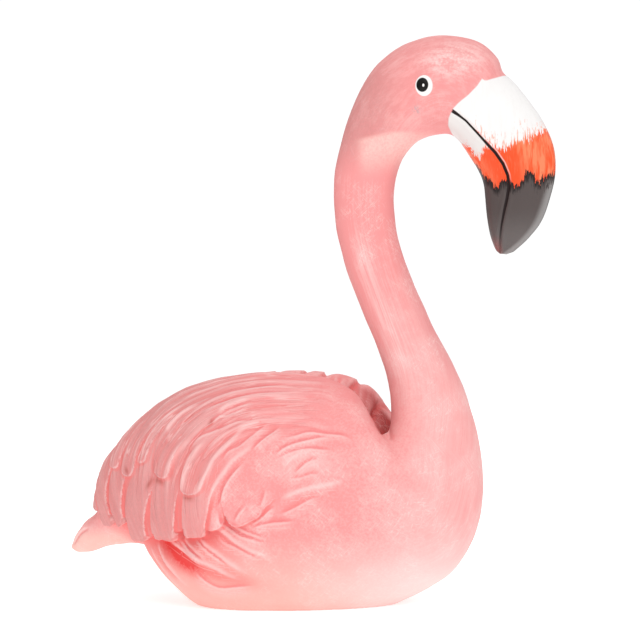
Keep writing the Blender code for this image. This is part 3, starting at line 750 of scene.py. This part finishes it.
def scallop_relief(length, past_crest, wing_side):
    """Toothed height of the short feathers inside the wing's crest, and a groove at each notch."""
    slanted = length + SCALLOP_SLANT * np.maximum(past_crest, 0)
    phase = np.interp(slanted, SCALLOP_NOTCHES, np.arange(len(SCALLOP_NOTCHES))) % 1
    early = np.clip(1 - phase / SCALLOP_CLIMB, 0, 1)
    tooth = np.minimum(1 - early ** 2, (1 - phase) / SCALLOP_DROP)
    window = between(*SCALLOPS_ALONG, length)
    window = window * between(SCALLOPS_START[wing_side], SCALLOPS_END, past_crest)
    notch = np.minimum(phase, 1 - phase) * SCALLOP_PITCH
    groove = SCALLOP_GROOVE * np.exp(-(notch / SCALLOP_GROOVE_WIDTH) ** 2)
    across, along, height = RIBS
    ribs = height * np.abs(wandering(length / across, past_crest / along + 0.3))
    inner = ease(*INNER_FACE, past_crest)
    teeth = SCALLOP_HEIGHT * ease(*SCALLOPS_GROW, length) * (tooth - SCALLOP_MIDDLE)
    return window * (teeth - (groove + ribs) * inner), window * inner


def wandering(across, along):
    """Smooth noise between -1 and 1: random numbers on a grid, joined by eased steps both ways."""
    high, wide = NOISE_GRID
    numbers = np.random.default_rng(NOISE_SEED).random(NOISE_GRID) * 2 - 1
    i, j = np.floor(across).astype(int), np.floor(along).astype(int)
    u, v = ease(0, 1, across - i), ease(0, 1, along - j)
    near, far = (
        numbers[k % high, j % wide] * (1 - v) + numbers[k % high, (j + 1) % wide] * v for k in (i, i + 1))
    return near * (1 - u) + far * u


def combed_relief(distance, sweep):
    """Combed locks along the feathers: |noise|, which has rounded tops between sharp valleys."""
    height = np.zeros_like(distance)
    for across, along, size in COMBED:
        locks = np.abs(wandering(distance / across, sweep / along + across))
        height = height + size * (locks - COMBED_MIDDLE)
    return height


def unevenness(points):
    """Slow hand-made waves: a sum of sines of position."""
    height = np.zeros(points.shape[:-1])
    for wave, phase, size in UNEVEN_WAVES:
        height = height + size * np.sin(points @ np.array(wave) + phase)
    return height


def wing_mask(length, girth, covered):
    """1 on the wing and ahead of it, 0 below the wing's lower edge."""
    edge = np.interp(length, WING_EDGE_AT, WING_EDGE_GIRTH)
    wing = ease(-FEATHER_EDGE, FEATHER_EDGE, girth - edge) * ease(*WING_REAR_AT, length)
    return np.maximum(np.maximum(wing, covered), ease(*WING_FADES_AT, length))


def recess_depth(length, girth):
    """Depth of the body below the wing: a depth along the side that fades downwards as exp(-b^1.5)."""
    below = np.maximum(np.interp(length, RECESS_TOP_AT, RECESS_TOP_GIRTH) - girth, 0)
    fade = np.exp(-(below / np.interp(length, RECESS_FADE_AT, RECESS_FADE)) ** 1.5)
    return np.interp(length, RECESS_AT, RECESS_DEPTH) * fade


def blurred(field, reach):
    """The field averaged with a triangle-shaped window of a few rows and columns each way."""
    weights = np.concatenate([np.arange(1, reach + 2), np.arange(reach, 0, -1)]).astype(float)
    weights = weights / weights.sum()
    for axis in (0, 1):
        padding = [(0, 0), (0, 0)]
        padding[axis] = (reach, reach)
        padded = np.pad(field, padding, mode="edge")
        count = field.shape[axis]
        field = sum(w * np.take(padded, np.arange(i, i + count), axis=axis) for i, w in enumerate(weights))
    return field


def outward_normals(points):
    """Unit normals of a side's grid, from its two gradients, turned away from the mid plane."""
    normals = np.cross(np.gradient(points, axis=1), np.gradient(points, axis=0))
    normals = normals / np.maximum(np.linalg.norm(normals, axis=2, keepdims=True), 1e-9)
    return normals * np.sign(normals[len(points) // 2, points.shape[1] // 2, 1])


def crest_girth(points, girth):
    """Girth of each ring's highest point on its upper half, which is the wing's crest."""
    half = points.shape[1] // 2
    highest = half + np.argmax(points[:, half:, 2], axis=1)
    return girth[np.arange(len(points)), highest][:, None]


def carved_body(wing_side):
    """One side of the body with all its carving, and its paint masks."""
    places = even_places(0, NECK_START, BODY_ROWS, BODY_CLOSER)
    angles = np.broadcast_to(side_angles(BODY_SIDE), (BODY_ROWS, BODY_SIDE))
    points = bare_surface(places, angles)
    length, girth = unrolled(points)
    past_crest = girth - crest_girth(points, girth)
    distance, angle = round_hub(length, girth)
    sweep = np.radians(angle) * SWEEP_RADIUS
    across, along, far = WANDER
    wander = far * wandering(distance / across, sweep / along)
    feathers, covered, rim_masks = feather_relief(distance + wander, angle + wander)
    wing = wing_mask(length, girth, covered * ease(*FEATHERS_FROM, distance))
    recess = recess_depth(length, girth) * (1 - wing)
    scallops, inner_face = scallop_relief(length, past_crest, wing_side)
    crest_band = between(CREST_BAND, SCALLOPS_END, past_crest)
    outer = 1 - crest_band * ease(*CREST_BAND_FROM, length)
    behind = 1 - ease(*COMBED_ENDS, length + np.maximum(COMBED_ABOVE - girth, 0))
    less, less_at = LESS_COMBED
    combed = ease(*COMBED_FROM, distance) * wing * behind * (1 - less * ease(*less_at, angle))
    on_outer = wing * ease(*CARVED_FROM, distance) * (1 - inner_face)
    fine = combed_relief(distance, sweep) * combed * outer * on_outer + scallops
    line_masks = {}
    for name, lines, profile in LINE_SETS:
        lines_height, gap, strength = line_relief(length, girth, lines, profile)
        fine = fine + lines_height
        line_masks[name] = gap
        line_masks[name + "_strength"] = strength
    deep = soft_spot(length, girth, DEEP_FOLD)
    height = feathers * on_outer + fine - DEEP_FOLD_DEPTH * deep - recess + unevenness(points)
    cavity = fine - blurred(fine, CAVITY_REACH)
    hollow = ease(*HOLLOW_PAST_CREST, past_crest) * ease(*HOLLOW_FROM, length)
    masks = {
        "length": length,
        "girth": girth,
        "sweep": sweep,
        "reach": distance,
        "on_wing": ease(*WING_PAINT_FROM, distance) * wing * behind * outer,
        "low_place": np.clip(-cavity / FULL_LOW, 0, 1),
        "high_place": np.clip(cavity / FULL_HIGH, 0, 1) * (1 - hollow),
        "recess": np.clip(recess / FULL_RECESS, 0, 1) * ease(*RECESS_PAINT_FROM, length),
        "deep": deep * (1 - wing),
        "soft_fold_shade": soft_spot(length, girth, SOFT_FOLD_SHADE),
        "shoulder_highlight": soft_spot(length, girth, SHOULDER_HIGHLIGHT),
        "shadow": np.minimum(sum(soft_spot(length, girth, spot) for spot in SHADOWS), 1),
        "hollow": hollow * (1 - ease(*HOLLOW_UNTIL, length)),
        "to_back": np.zeros_like(girth),
    }
    masks.update(rim_masks)
    masks.update(line_masks)
    return points + outward_normals(points) * height[:, :, None], masks


def eye_relief(points):
    """The eye's low dome, (1 - e^2) over an ellipse e = 1, with a soft rim."""
    e = np.hypot((points[..., 0] - EYE[0]) / EYE_HALF[0], (points[..., 2] - EYE[1]) / EYE_HALF[1])
    return EYE_RISE * (0.5 * (1 - ease(*EYE_RIM, e)) + 0.5 * np.clip(1 - e ** 2, 0, 1))


def mouth_relief(gap, way):
    """The mouth's groove, and lips beside it that leave the upper bill a little proud of the lower."""
    lips = sum(height * np.exp(-((gap - place) / width) ** 2) for height, place, width in LIPS)
    return between(*MOUTH_ENDS, way) * (lips - MOUTH_DEPTH * np.exp(-(gap / MOUTH_WIDTH) ** 2))


def neck_and_head(body_masks):
    """The neck, head and beak's side, with eye and mouth, and its paint masks."""
    places = even_places(NECK_START, BEAK_TIP, NECK_ROWS, NECK_CLOSER)[1:]
    even_angles = np.linspace(-0.5 * np.pi, 0.5 * np.pi, NECK_SIDE)
    blend = ease(NECK_START, NECK_START + ROUND_AGAIN_AFTER, places)[:, None]
    angles = side_angles(BODY_SIDE)[::2] * (1 - blend) + even_angles * blend
    points = bare_surface(places, angles)
    gap, way = near_line(points[:, :, 0], points[:, :, 2], MOUTH)
    on_beak = ease(*BEAK_FROM, places)[:, None]
    height = unevenness(points) * (1 - MORE_EVEN * on_beak) + eye_relief(points)
    height = height + mouth_relief(gap, way) * on_beak
    length, girth = unrolled(points)
    masks = {name: np.zeros_like(girth) for name in body_masks}
    masks["length"] = length - SIDE_LINE_START + body_masks["length"][-1, 0]
    masks["girth"] = girth
    masks["to_back"] = (girth[:, -1:] - girth) * on_beak
    for name, *_ in FEATHER_ROWS:
        masks[name] = masks[name] + FAR_FROM_RIM
    return points + outward_normals(points) * height[:, :, None], masks


def joined(right, left):
    """Closed rings from two sides: belly to back on the right, and back to belly on the left."""
    return np.concatenate([right, left[:, -2:0:-1]], axis=1)


def placed(points):
    """Drawn millimetres to metres in the CAD part's box, standing on z = 0."""
    points = points - np.array([MIDDLE_OF_LENGTH, 0, 0])
    points[..., 2] = np.maximum(points[..., 2], 0) * DRAWN_SIZE[2] / HIGHEST_DRAWN
    return points * UNIT


def ring_faces(first, rows, count):
    """Quads between neighbouring rings whose vertices are numbered row by row from first."""
    lower = first + np.arange(rows - 1)[:, None] * count + np.arange(count)[None, :]
    ahead = first + np.arange(rows - 1)[:, None] * count + (np.arange(count)[None, :] + 1) % count
    return np.stack([lower, ahead, ahead + count, lower + count], axis=-1).reshape(-1, 4)


def joining_faces(fine, coarse):
    """Triangles between a ring and the next one, which has half as many points."""
    ahead = np.roll(coarse, -1)
    even, odd, beyond = fine[0::2], fine[1::2], np.roll(fine[0::2], -1)
    return np.concatenate([
        np.stack([even, odd, coarse], axis=-1),
        np.stack([odd, ahead, coarse], axis=-1),
        np.stack([odd, beyond, ahead], axis=-1),
    ])


def fan_faces(ring, tip, outward):
    """Triangles from an end ring to its tip."""
    ahead = np.roll(ring, -1)
    order = [ring, ahead, np.full_like(ring, tip)]
    return np.stack(order if outward else [ahead, ring, order[2]], axis=-1)


def line_height(x, line):
    """Height of a line of (x, z) points at x."""
    return np.interp(x, [point[0] for point in line], [point[1] for point in line])


def beak_masks(points):
    """Millimetres past each paint edge of the beak and from the mouth's line, for every vertex.

    The last mask is how many hundredths of the mouth's line lie between there and its nearer end.
    """
    x, z = points[:, 0], points[:, 2]
    past_face, _ = near_line(x, z, FACE_EDGE)
    mouth, way = near_line(x, z, MOUTH)
    orange_top = np.where(mouth > 0, line_height(x, ORANGE_TOP_UPPER), line_height(x, ORANGE_TOP_LOWER))
    return {
        "past_face": past_face,
        "past_orange": orange_top - z,
        "past_black": line_height(x, BLACK_TOP) - z,
        "mouth": mouth,
        "mouth_way": 100 * np.minimum(way, 1 - way),
    }


def make_figure():
    """The whole figure as one closed mesh with its masks as attributes."""
    right, right_masks = carved_body("right")
    left, left_masks = carved_body("left")
    neck, neck_masks = neck_and_head(right_masks)
    mirror = np.array([1, -1, 1])
    body_rings, neck_rings = joined(right * mirror, left), joined(neck * mirror, neck)
    fine, coarse = body_rings.shape[1], neck_rings.shape[1]
    tail_tip = body_rings[0].mean(axis=0) + np.array([-TIP_BULGE, 0, 0])
    beak_tip = neck_rings[-1].mean(axis=0) + np.array([0, 0, -TIP_BULGE])
    points = np.concatenate([body_rings.reshape(-1, 3), neck_rings.reshape(-1, 3), [tail_tip, beak_tip]])
    neck_first = len(body_rings) * fine
    last = neck_first + len(neck_rings) * coarse
    faces = [
        ring_faces(0, len(body_rings), fine),
        ring_faces(neck_first, len(neck_rings), coarse),
        joining_faces(neck_first - fine + np.arange(fine), neck_first + np.arange(coarse)),
        fan_faces(np.arange(fine), last, False),
        fan_faces(last - coarse + np.arange(coarse), last + 1, True),
    ]
    data = bpy.data.meshes.new("flamingo_casting")
    data.from_pydata(placed(points).tolist(), [], [face for part in faces for face in part.tolist()])
    data.update()
    for name in right_masks:
        on_body = joined(right_masks[name], left_masks[name])
        on_neck = joined(neck_masks[name], neck_masks[name])
        add_attribute(data, name, np.concatenate([on_body.ravel(), on_neck.ravel(), [0, 0]]))
    for name, values in beak_masks(points).items():
        add_attribute(data, name, values)
    data.shade_smooth()
    figure = bpy.data.objects.new("flamingo_casting", data)
    bpy.context.scene.collection.objects.link(figure)
    return figure


def add_attribute(data, name, values):
    """One number for every vertex, under a name the material reads."""
    attribute = data.attributes.new(name, "FLOAT", "POINT")
    attribute.data.foreach_set("value", np.asarray(values, dtype=np.float32))


class Paintbox:
    """Short ways to add nodes to one material.

    A ramp is a source, the values at which it begins and ends, and the shares there, which are 0
    and 1 where they aren't given. A source alone is taken as it is. A source is a socket or a name.
    """

    def __init__(self, name):
        self.material = bpy.data.materials.new(name)
        self.material.use_nodes = True
        self.tree = self.material.node_tree
        self.shader = self.tree.nodes["Principled BSDF"]
        self.sources = {}

    def put(self, socket, value):
        """Link a socket to another, or set it to a constant."""
        if isinstance(value, bpy.types.NodeSocket):
            self.tree.links.new(value, socket)
        else:
            socket.default_value = value

    def node(self, kind, inputs, **settings):
        """Add a node with settings, and fill its inputs by name or number."""
        node = self.tree.nodes.new(kind)
        for key, value in settings.items():
            setattr(node, key, value)
        for key, value in inputs.items():
            self.put(node.inputs[key], value)
        return node

    def read(self, source):
        """A socket as it is, a named source, or else the vertex attribute of that name."""
        if isinstance(source, bpy.types.NodeSocket):
            return source
        if source not in self.sources:
            attribute = self.node("ShaderNodeAttribute", {}, attribute_name=source)
            self.sources[source] = attribute.outputs["Fac"]
        return self.sources[source]

    def math(self, operation, *values):
        """A math node's result for numbers, sockets or names of sources, taken two at a time."""
        result, *others = (self.read(v) if isinstance(v, str) else v for v in values)
        if not others:
            return self.node("ShaderNodeMath", {0: result}, operation=operation).outputs[0]
        for other in others:
            result = self.node("ShaderNodeMath", {0: result, 1: other}, operation=operation).outputs[0]
        return result

    def times(self, *values):
        """The product of values."""
        return self.math("MULTIPLY", *values)

    def plus(self, *values):
        """The sum of values."""
        return self.math("ADD", *values)

    def apart(self, value, middle):
        """How far a value is from a middle."""
        return self.math("ABSOLUTE", self.math("SUBTRACT", value, middle))

    def step(self, source, low, high, to_low=0, to_high=1):
        """Smooth step of a source from low to high, onto another range."""
        inputs = {"Value": self.read(source), "From Min": low, "From Max": high,
                  "To Min": to_low, "To Max": to_high}
        return self.node("ShaderNodeMapRange", inputs, interpolation_type="SMOOTHSTEP").outputs["Result"]

    def share(self, most, *ramps):
        """The product of ramps, times the most that the share may reach."""
        return self.times(most, *(self.step(*ramp) if ramp[1:] else ramp[0] for ramp in ramps))

    def mix(self, share, under, over):
        """One colour laid over another by a share."""
        return self.node("ShaderNodeMix", {0: share, 6: under, 7: over}, data_type="RGBA").outputs[2]

    def coat(self, under, paint, most, *ramps):
        """A paint laid over what is under it, by the product of ramps."""
        return self.mix(self.share(most, *ramps), under, paint)

    def vector(self, x, y, z):
        """Three numbers as a vector."""
        return self.node("ShaderNodeCombineXYZ", {0: x, 1: y, 2: z}).outputs[0]

    def noise(self, vector, detail, rough):
        """Noise about 0.5 at a vector."""
        inputs = {"Vector": vector, "Scale": 1, "Detail": detail, "Roughness": rough}
        return self.node("ShaderNodeTexNoise", inputs).outputs["Fac"]

    def stretched(self, vector, factors):
        """A vector times three factors, which stretches a pattern read there."""
        inputs = {0: vector, 1: factors}
        return self.node("ShaderNodeVectorMath", inputs, operation="MULTIPLY").outputs[0]


def drawn_position(box):
    """Object coordinates back to drawn millimetres."""
    place = box.node("ShaderNodeTexCoord", {}).outputs["Object"]
    scale = [1 / UNIT[0], 1 / UNIT[1], HIGHEST_DRAWN / DRAWN_SIZE[2] / UNIT[2]]
    inputs = {"Vector": place, "Scale": scale, "Location": (MIDDLE_OF_LENGTH, 0, 0)}
    return box.node("ShaderNodeMapping", inputs).outputs[0]


def within(box, centre, half):
    """Distance from an ellipse's centre in the x-z plane, 1 on the ellipse."""
    inputs = {0: box.read("place"), 1: (centre[0], 0, centre[1])}
    offset = box.node("ShaderNodeVectorMath", inputs, operation="SUBTRACT").outputs[0]
    scaled = box.stretched(offset, (1 / half[0], 0, 1 / half[1]))
    return box.node("ShaderNodeVectorMath", {0: scaled}, operation="LENGTH").outputs["Value"]


def read_the_surface(box):
    """Name what bounds the paint: places on the figure, and patterns of the brush.

    Strokes run along the neck and body, and swept ones round the wing's hub.
    """
    place = box.sources["place"] = drawn_position(box)
    x, y, z = box.node("ShaderNodeSeparateXYZ", {0: place}).outputs
    length, girth = box.read("length"), box.read("girth")
    box.sources.update(x=x, z=z, **{
        "along": box.vector(length, girth, y),
        "across": box.vector(box.read("sweep"), box.read("reach"), y),
        "askew": box.vector(box.plus(length, girth), box.math("SUBTRACT", girth, length), y),
    })
    for name, (where, stretch, detail, rough) in PATTERNS.items():
        box.sources[name] = box.noise(box.stretched(box.read(where), stretch), detail, rough)
    upright = box.math("MAXIMUM", box.step("z", *UPRIGHT_ABOVE), box.step("x", *UPRIGHT_AHEAD))
    standing = box.mix(upright, box.read("grain"), box.read("strokes"))
    box.sources.update({
        "brushed": box.mix(box.read("on_wing"), standing, box.read("swept")),
        "from_highlight_band": box.apart(girth, HIGHLIGHT_BAND_GIRTH),
        "from_side": box.apart(girth, SIDE_LINE_GIRTH),
        "above_jaw": box.math("SUBTRACT", z, box.step("x", *JAW_HEIGHT)),
        "from_smudge": within(box, *SMUDGE),
        "from_forehead": within(box, *FOREHEAD),
        "dabbed": box.plus("mottle", "grain"),
        "dusty": box.plus(box.times("swept", 0.4), box.times("grain", 0.6)),
        "patchy": box.share(1, ("on_wing",), ("cloudy", 0.4, 0.6, 0.35, 1), ("sweep", 172, 184, 1, 0.25)),
        "shaky": box.times(box.math("SUBTRACT", "grain", 0.5), SHAKY_EDGE),
    })


def painted_lines(box, colour):
    """Grooves with a dark line that is partly wash and partly painted shade, and a painted highlight on
    the lip, and folds with a painted highlight along them.
    """
    for name, _, profile in LINE_SETS:
        gap = box.plus(name, "shaky")
        near = box.math("ABSOLUTE", gap)
        strength = (box.read(name + "_strength"),)
        if profile is groove_profile:
            colour = box.coat(colour, HIGHLIGHT_PINK, 0.7, (gap, -0.4, -1), (gap, -2.6, -1.4), strength)
            colour = box.coat(colour, GROOVE_WASH_AND_SHADE_ROSE, 0.6, (near, 1.3, 0.1), strength)
        else:
            colour = box.coat(colour, PALE_PINK, 0.65, (near, 1.7, 0.2), strength)
    return colour


def painted_scratches(box, colour):
    """Fine pale scratches, askew both ways, where a noise crosses its middle."""
    crossing = box.math("MINIMUM", box.apart("one_way", 0.5), box.apart("other_way", 0.5))
    deep = box.share(1, ("deep",), ("grain", 0.3, 0.7, 1.3, 2))
    bare = box.math("SUBTRACT", 1, box.math("MAXIMUM", deep, "recess"))
    off_wing = box.math("SUBTRACT", 1, "on_wing")
    return box.coat(colour, BLUSH_WHITE, 0.38, (crossing, 0.018, 0.003), ("cloudy", 0.42, 0.6),
                    ("z", 245, 215, 0.25, 1), (off_wing,), (bare,))


def painted_feathers(box, colour):
    """Each row of feathers: a rosy gap outside its rims, partly wash and partly painted shade, and inside
    them a thin painted highlight where the edge faces the hub, broken up by a noise.

    The height that the rims have for the bump is given back with the colour.
    """
    # The rims' painted highlight lies on edges that face the hub and the tip, the side the light falls on,
    # and is broken up by a noise.
    lit = box.share(1, ("highlight_breaks", 0.35, 0.6, 0.1, 1), ("facing", 0, 1, 0.05, 0.52))
    plain = colour
    carved = 0
    for name, _, _, gap, gap_width, _ in FEATHER_ROWS:
        past = box.plus(name, "shaky")
        fade = box.read(name + "_fade")
        colour = box.coat(colour, plain, 1, (past, 0.3, -0.3), (fade, 0, 0.3))
        near = (past, gap_width, 0.4 * gap_width)
        colour = box.coat(colour, WASH_AND_SHADE_ROSE, gap, near, (past, -0.3, 0.3), (fade,))
        colour = box.coat(colour, HIGHLIGHT_PINK, 1, (past, 0.1, -0.2), (past, -0.95, -0.35), (fade,), (lit,))
        carved = box.plus(carved, box.share(1, (past, 0.6, -0.6), (fade,)))
    return colour, carved


def painted_bill(box):
    """The beak's paint: white, then ragged orange, and ragged black with a sooty edge."""
    upper = box.step("mouth", -0.2, 0.2)
    from_mouth = box.math("ABSOLUTE", "mouth")
    ragged = box.times(box.math("SUBTRACT", "streaks", 0.5), box.step(upper, 0, 1, 0.7, 1))
    # Below the mouth the bill is cream grey, partly painted shade under the upper bill; above it white
    # with cream grey smears.
    white = box.mix(upper, CREAM_GREY, box.coat(WHITE, CREAM_GREY, 0.3, ("blotches", 0.45, 0.75)))
    tint_at = box.plus("past_orange", TINT_BEFORE, box.times(ragged, box.step(upper, 0, 1, 30, 56)))
    white = box.coat(white, SALMON, 0.6, (tint_at, 0, 5), ("x", 90, 96))
    orange = box.coat(RED_ORANGE, SALMON, 1, ("blotches", 0.38, 0.62, 0.05, 1), (from_mouth, 4, 15))
    orange = box.coat(orange, SALMON, 0.35, ("streaks", 0.5, 0.75))
    orange_at = box.plus("past_orange", box.times(ragged, ORANGE_RAGGED))
    bill = box.coat(white, orange, 1, (orange_at, -0.8, 1.2))
    black_at = box.plus("past_black", box.times(ragged, BLACK_RAGGED))
    black = box.coat(BLACK, SOOT, 0.92, (black_at, 6.5, 1.5))
    # A painted highlight along the culmen, the beak's ridge, and a greyer black towards the tip.
    culmen = box.share(0.88, ("to_back", 0.5, 3), ("to_back", 9.8, 4.2))
    sheen_and_grey = box.math("MAXIMUM", culmen, box.step("z", 218, 198, 0, 0.22))
    black = box.coat(black, GREY_AND_SHEEN_BLACK, 1, (sheen_and_grey,), (black_at, 4, 8))
    black = box.coat(black, ROSE, 0.2, ("z", 204, 194), ("x", 106, 102.5))
    bill = box.coat(bill, black, 1, (black_at, -0.3, 0.4))

    # The dark line of the mouth, thick at its corner and in its bend, with a painted highlight on the lip
    # above it.
    thick = box.plus(box.step("mouth_way", 8, 1, 0, 0.35), box.step("z", 205, 222, -0.35, 0))
    thick = box.plus(thick, box.step("z", 248, 258, 0.1, -0.15))
    beside = box.math("SUBTRACT", from_mouth, thick)
    bill = box.coat(bill, WHITE, 0.5, ("mouth", 0.9, 1.2), ("mouth", 1.9, 1.4), ("z", 228, 240))
    return box.coat(bill, MOUTH_BROWN, 1, (beside, 0.95, 0.55), ("mouth_way", -0.6, 0.6),
                    ("z", 195, 209, 0.3, 1))


def painted_resin():
    """The brush-painted finish, with painted shade and painted highlights: pinks by masks and strokes,
    then beak and eyes.
    """
    box = Paintbox("painted_resin")
    read_the_surface(box)
    pale = box.plus(*(box.share(most, *ramps) for most, *ramps in PALENESS))
    colour = box.mix(pale, PINK, PALE_PINK)
    # Towards the base the pink turns peach behind and whiter ahead: partly paint, and partly painted
    # bounce light from the floor.
    colour = box.coat(colour, box.coat(PEACH_AND_FLOOR_BOUNCE, BLUSH_WHITE, 1, ("x", -20, 60)), 0.7, ("z", 50, 6))
    for paint, most, *ramps in COATS.values():
        colour = box.coat(colour, paint, most, *ramps)
    colour = painted_scratches(box, painted_lines(box, colour))
    colour, carved = painted_feathers(box, colour)
    white = box.step("past_face", -0.35, 0.35)
    colour = box.mix(white, colour, painted_bill(box))
    eye = box.step(within(box, EYE, EYE_HALF), 1.03, 0.97)
    colour = box.mix(eye, colour, WHITE)
    colour = box.coat(colour, PUPIL_BLACK, 1, (within(box, PUPIL, PUPIL_HALF), 1.03, 0.95))
    colour = box.coat(colour, WHITE, 1, (within(box, GLINT, GLINT_HALF), 1.2, 0.8))
    box.put(box.shader.inputs["Base Color"], colour)

    glossy = box.math("MAXIMUM", white, eye)
    box.put(box.shader.inputs["Roughness"], box.step(glossy, 0, 1, PINK_ROUGHNESS, GLOSS_ROUGHNESS))
    box.shader.inputs["Specular IOR Level"].default_value = SPECULAR
    fine = box.plus(box.times("brushed", 0.5), box.times("grain", 0.3))
    fine = box.times(fine, box.math("SUBTRACT", 1, glossy))
    dug = box.share(0.9, ("fine_lines", 0.46, 0.5), ("on_wing",))
    raised = box.plus(fine, box.times(carved, 0.8), dug)
    bump = box.node("ShaderNodeBump", {"Strength": 0.6, "Distance": BUMP_METRES, "Height": raised})
    box.put(box.shader.inputs["Normal"], bump.outputs[0])
    return box.material


def plain_material(name, colour, roughness):
    """One colour all over."""
    box = Paintbox(name)
    box.shader.inputs["Base Color"].default_value = colour
    box.shader.inputs["Roughness"].default_value = roughness
    return box.material


def make_floor():
    """A plain pale table under the figure, lit a little from below."""
    half = FLOOR_HALF
    corners = [(-half, -half, 0), (half, -half, 0), (half, half, 0), (-half, half, 0)]
    data = bpy.data.meshes.new("studio_floor")
    data.from_pydata(corners, [], [(0, 1, 2, 3)])
    floor = bpy.data.objects.new("studio_floor", data)
    table = plain_material("floor_white", FLOOR_WHITE, 0.9)
    shader = table.node_tree.nodes["Principled BSDF"]
    shader.inputs["Emission Color"].default_value = (1, 1, 1, 1)
    shader.inputs["Emission Strength"].default_value = TABLE_GLOW
    data.materials.append(table)
    bpy.context.scene.collection.objects.link(floor)


def softbox(name, azimuth, elevation, distance, size, watts):
    """A square area light aimed at the middle of the figure."""
    data = bpy.data.lights.new(name, "AREA")
    data.size = size
    data.energy = watts
    light = bpy.data.objects.new(name, data)
    a, e = np.radians(azimuth), np.radians(elevation)
    away = Vector((np.sin(a) * np.cos(e), -np.cos(a) * np.cos(e), np.sin(e)))
    light.location = Vector((0, 0, AIM_HEIGHT)) + away * distance
    light.rotation_mode = "QUATERNION"
    light.rotation_quaternion = away.to_track_quat("Z", "Y")
    bpy.context.scene.collection.objects.link(light)


def light_studio():
    """A white studio: bright from above, softer from the sides, and a key near the camera."""
    world = bpy.data.worlds.new("studio")
    world.use_nodes = True
    tree = world.node_tree
    background = tree.nodes["Background"]
    background.inputs["Color"].default_value = (1, 1, 1, 1)
    direction = tree.nodes.new("ShaderNodeSeparateXYZ")
    tree.links.new(tree.nodes.new("ShaderNodeTexCoord").outputs["Generated"], direction.inputs[0])
    dome = tree.nodes.new("ShaderNodeMapRange")
    dome.interpolation_type = "SMOOTHSTEP"
    tree.links.new(direction.outputs["Z"], dome.inputs["Value"])
    for name, value in zip(("From Min", "From Max", "To Min", "To Max"), DOME):
        dome.inputs[name].default_value = value
    seen = tree.nodes.new("ShaderNodeMix")
    tree.links.new(tree.nodes.new("ShaderNodeLightPath").outputs["Is Camera Ray"], seen.inputs[0])
    tree.links.new(dome.outputs["Result"], seen.inputs[2])
    seen.inputs[3].default_value = BACKDROP_STRENGTH
    tree.links.new(seen.outputs[0], background.inputs["Strength"])
    bpy.context.scene.world = world
    softbox("key", *KEY_LIGHT)
    bpy.context.scene.view_settings.view_transform = "Standard"


def make_camera():
    """The photograph's camera: turned round the figure, level with its neck, tipped and rolled."""
    data = bpy.data.cameras.new("camera")
    data.lens = LENS_MM
    camera = bpy.data.objects.new("camera", data)
    a = np.radians(CAMERA_AZIMUTH)
    turn = Matrix.Rotation(a, 4, "Z") @ Matrix.Rotation(np.radians(90 + CAMERA_PITCH), 4, "X")
    turn = turn @ Matrix.Rotation(np.radians(CAMERA_ROLL), 4, "Z")
    middle = MIDDLE_OF_LENGTH * UNIT[0]
    spot = (np.sin(a) * CAMERA_DISTANCE - middle, -np.cos(a) * CAMERA_DISTANCE, CAMERA_HEIGHT)
    camera.matrix_world = Matrix.Translation(spot) @ turn
    bpy.context.scene.collection.objects.link(camera)
    bpy.context.scene.camera = camera


casting = make_figure()
casting.data.materials.append(painted_resin())
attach(casting, "root")
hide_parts("flamingo_figure")
make_floor()
light_studio()
make_camera()
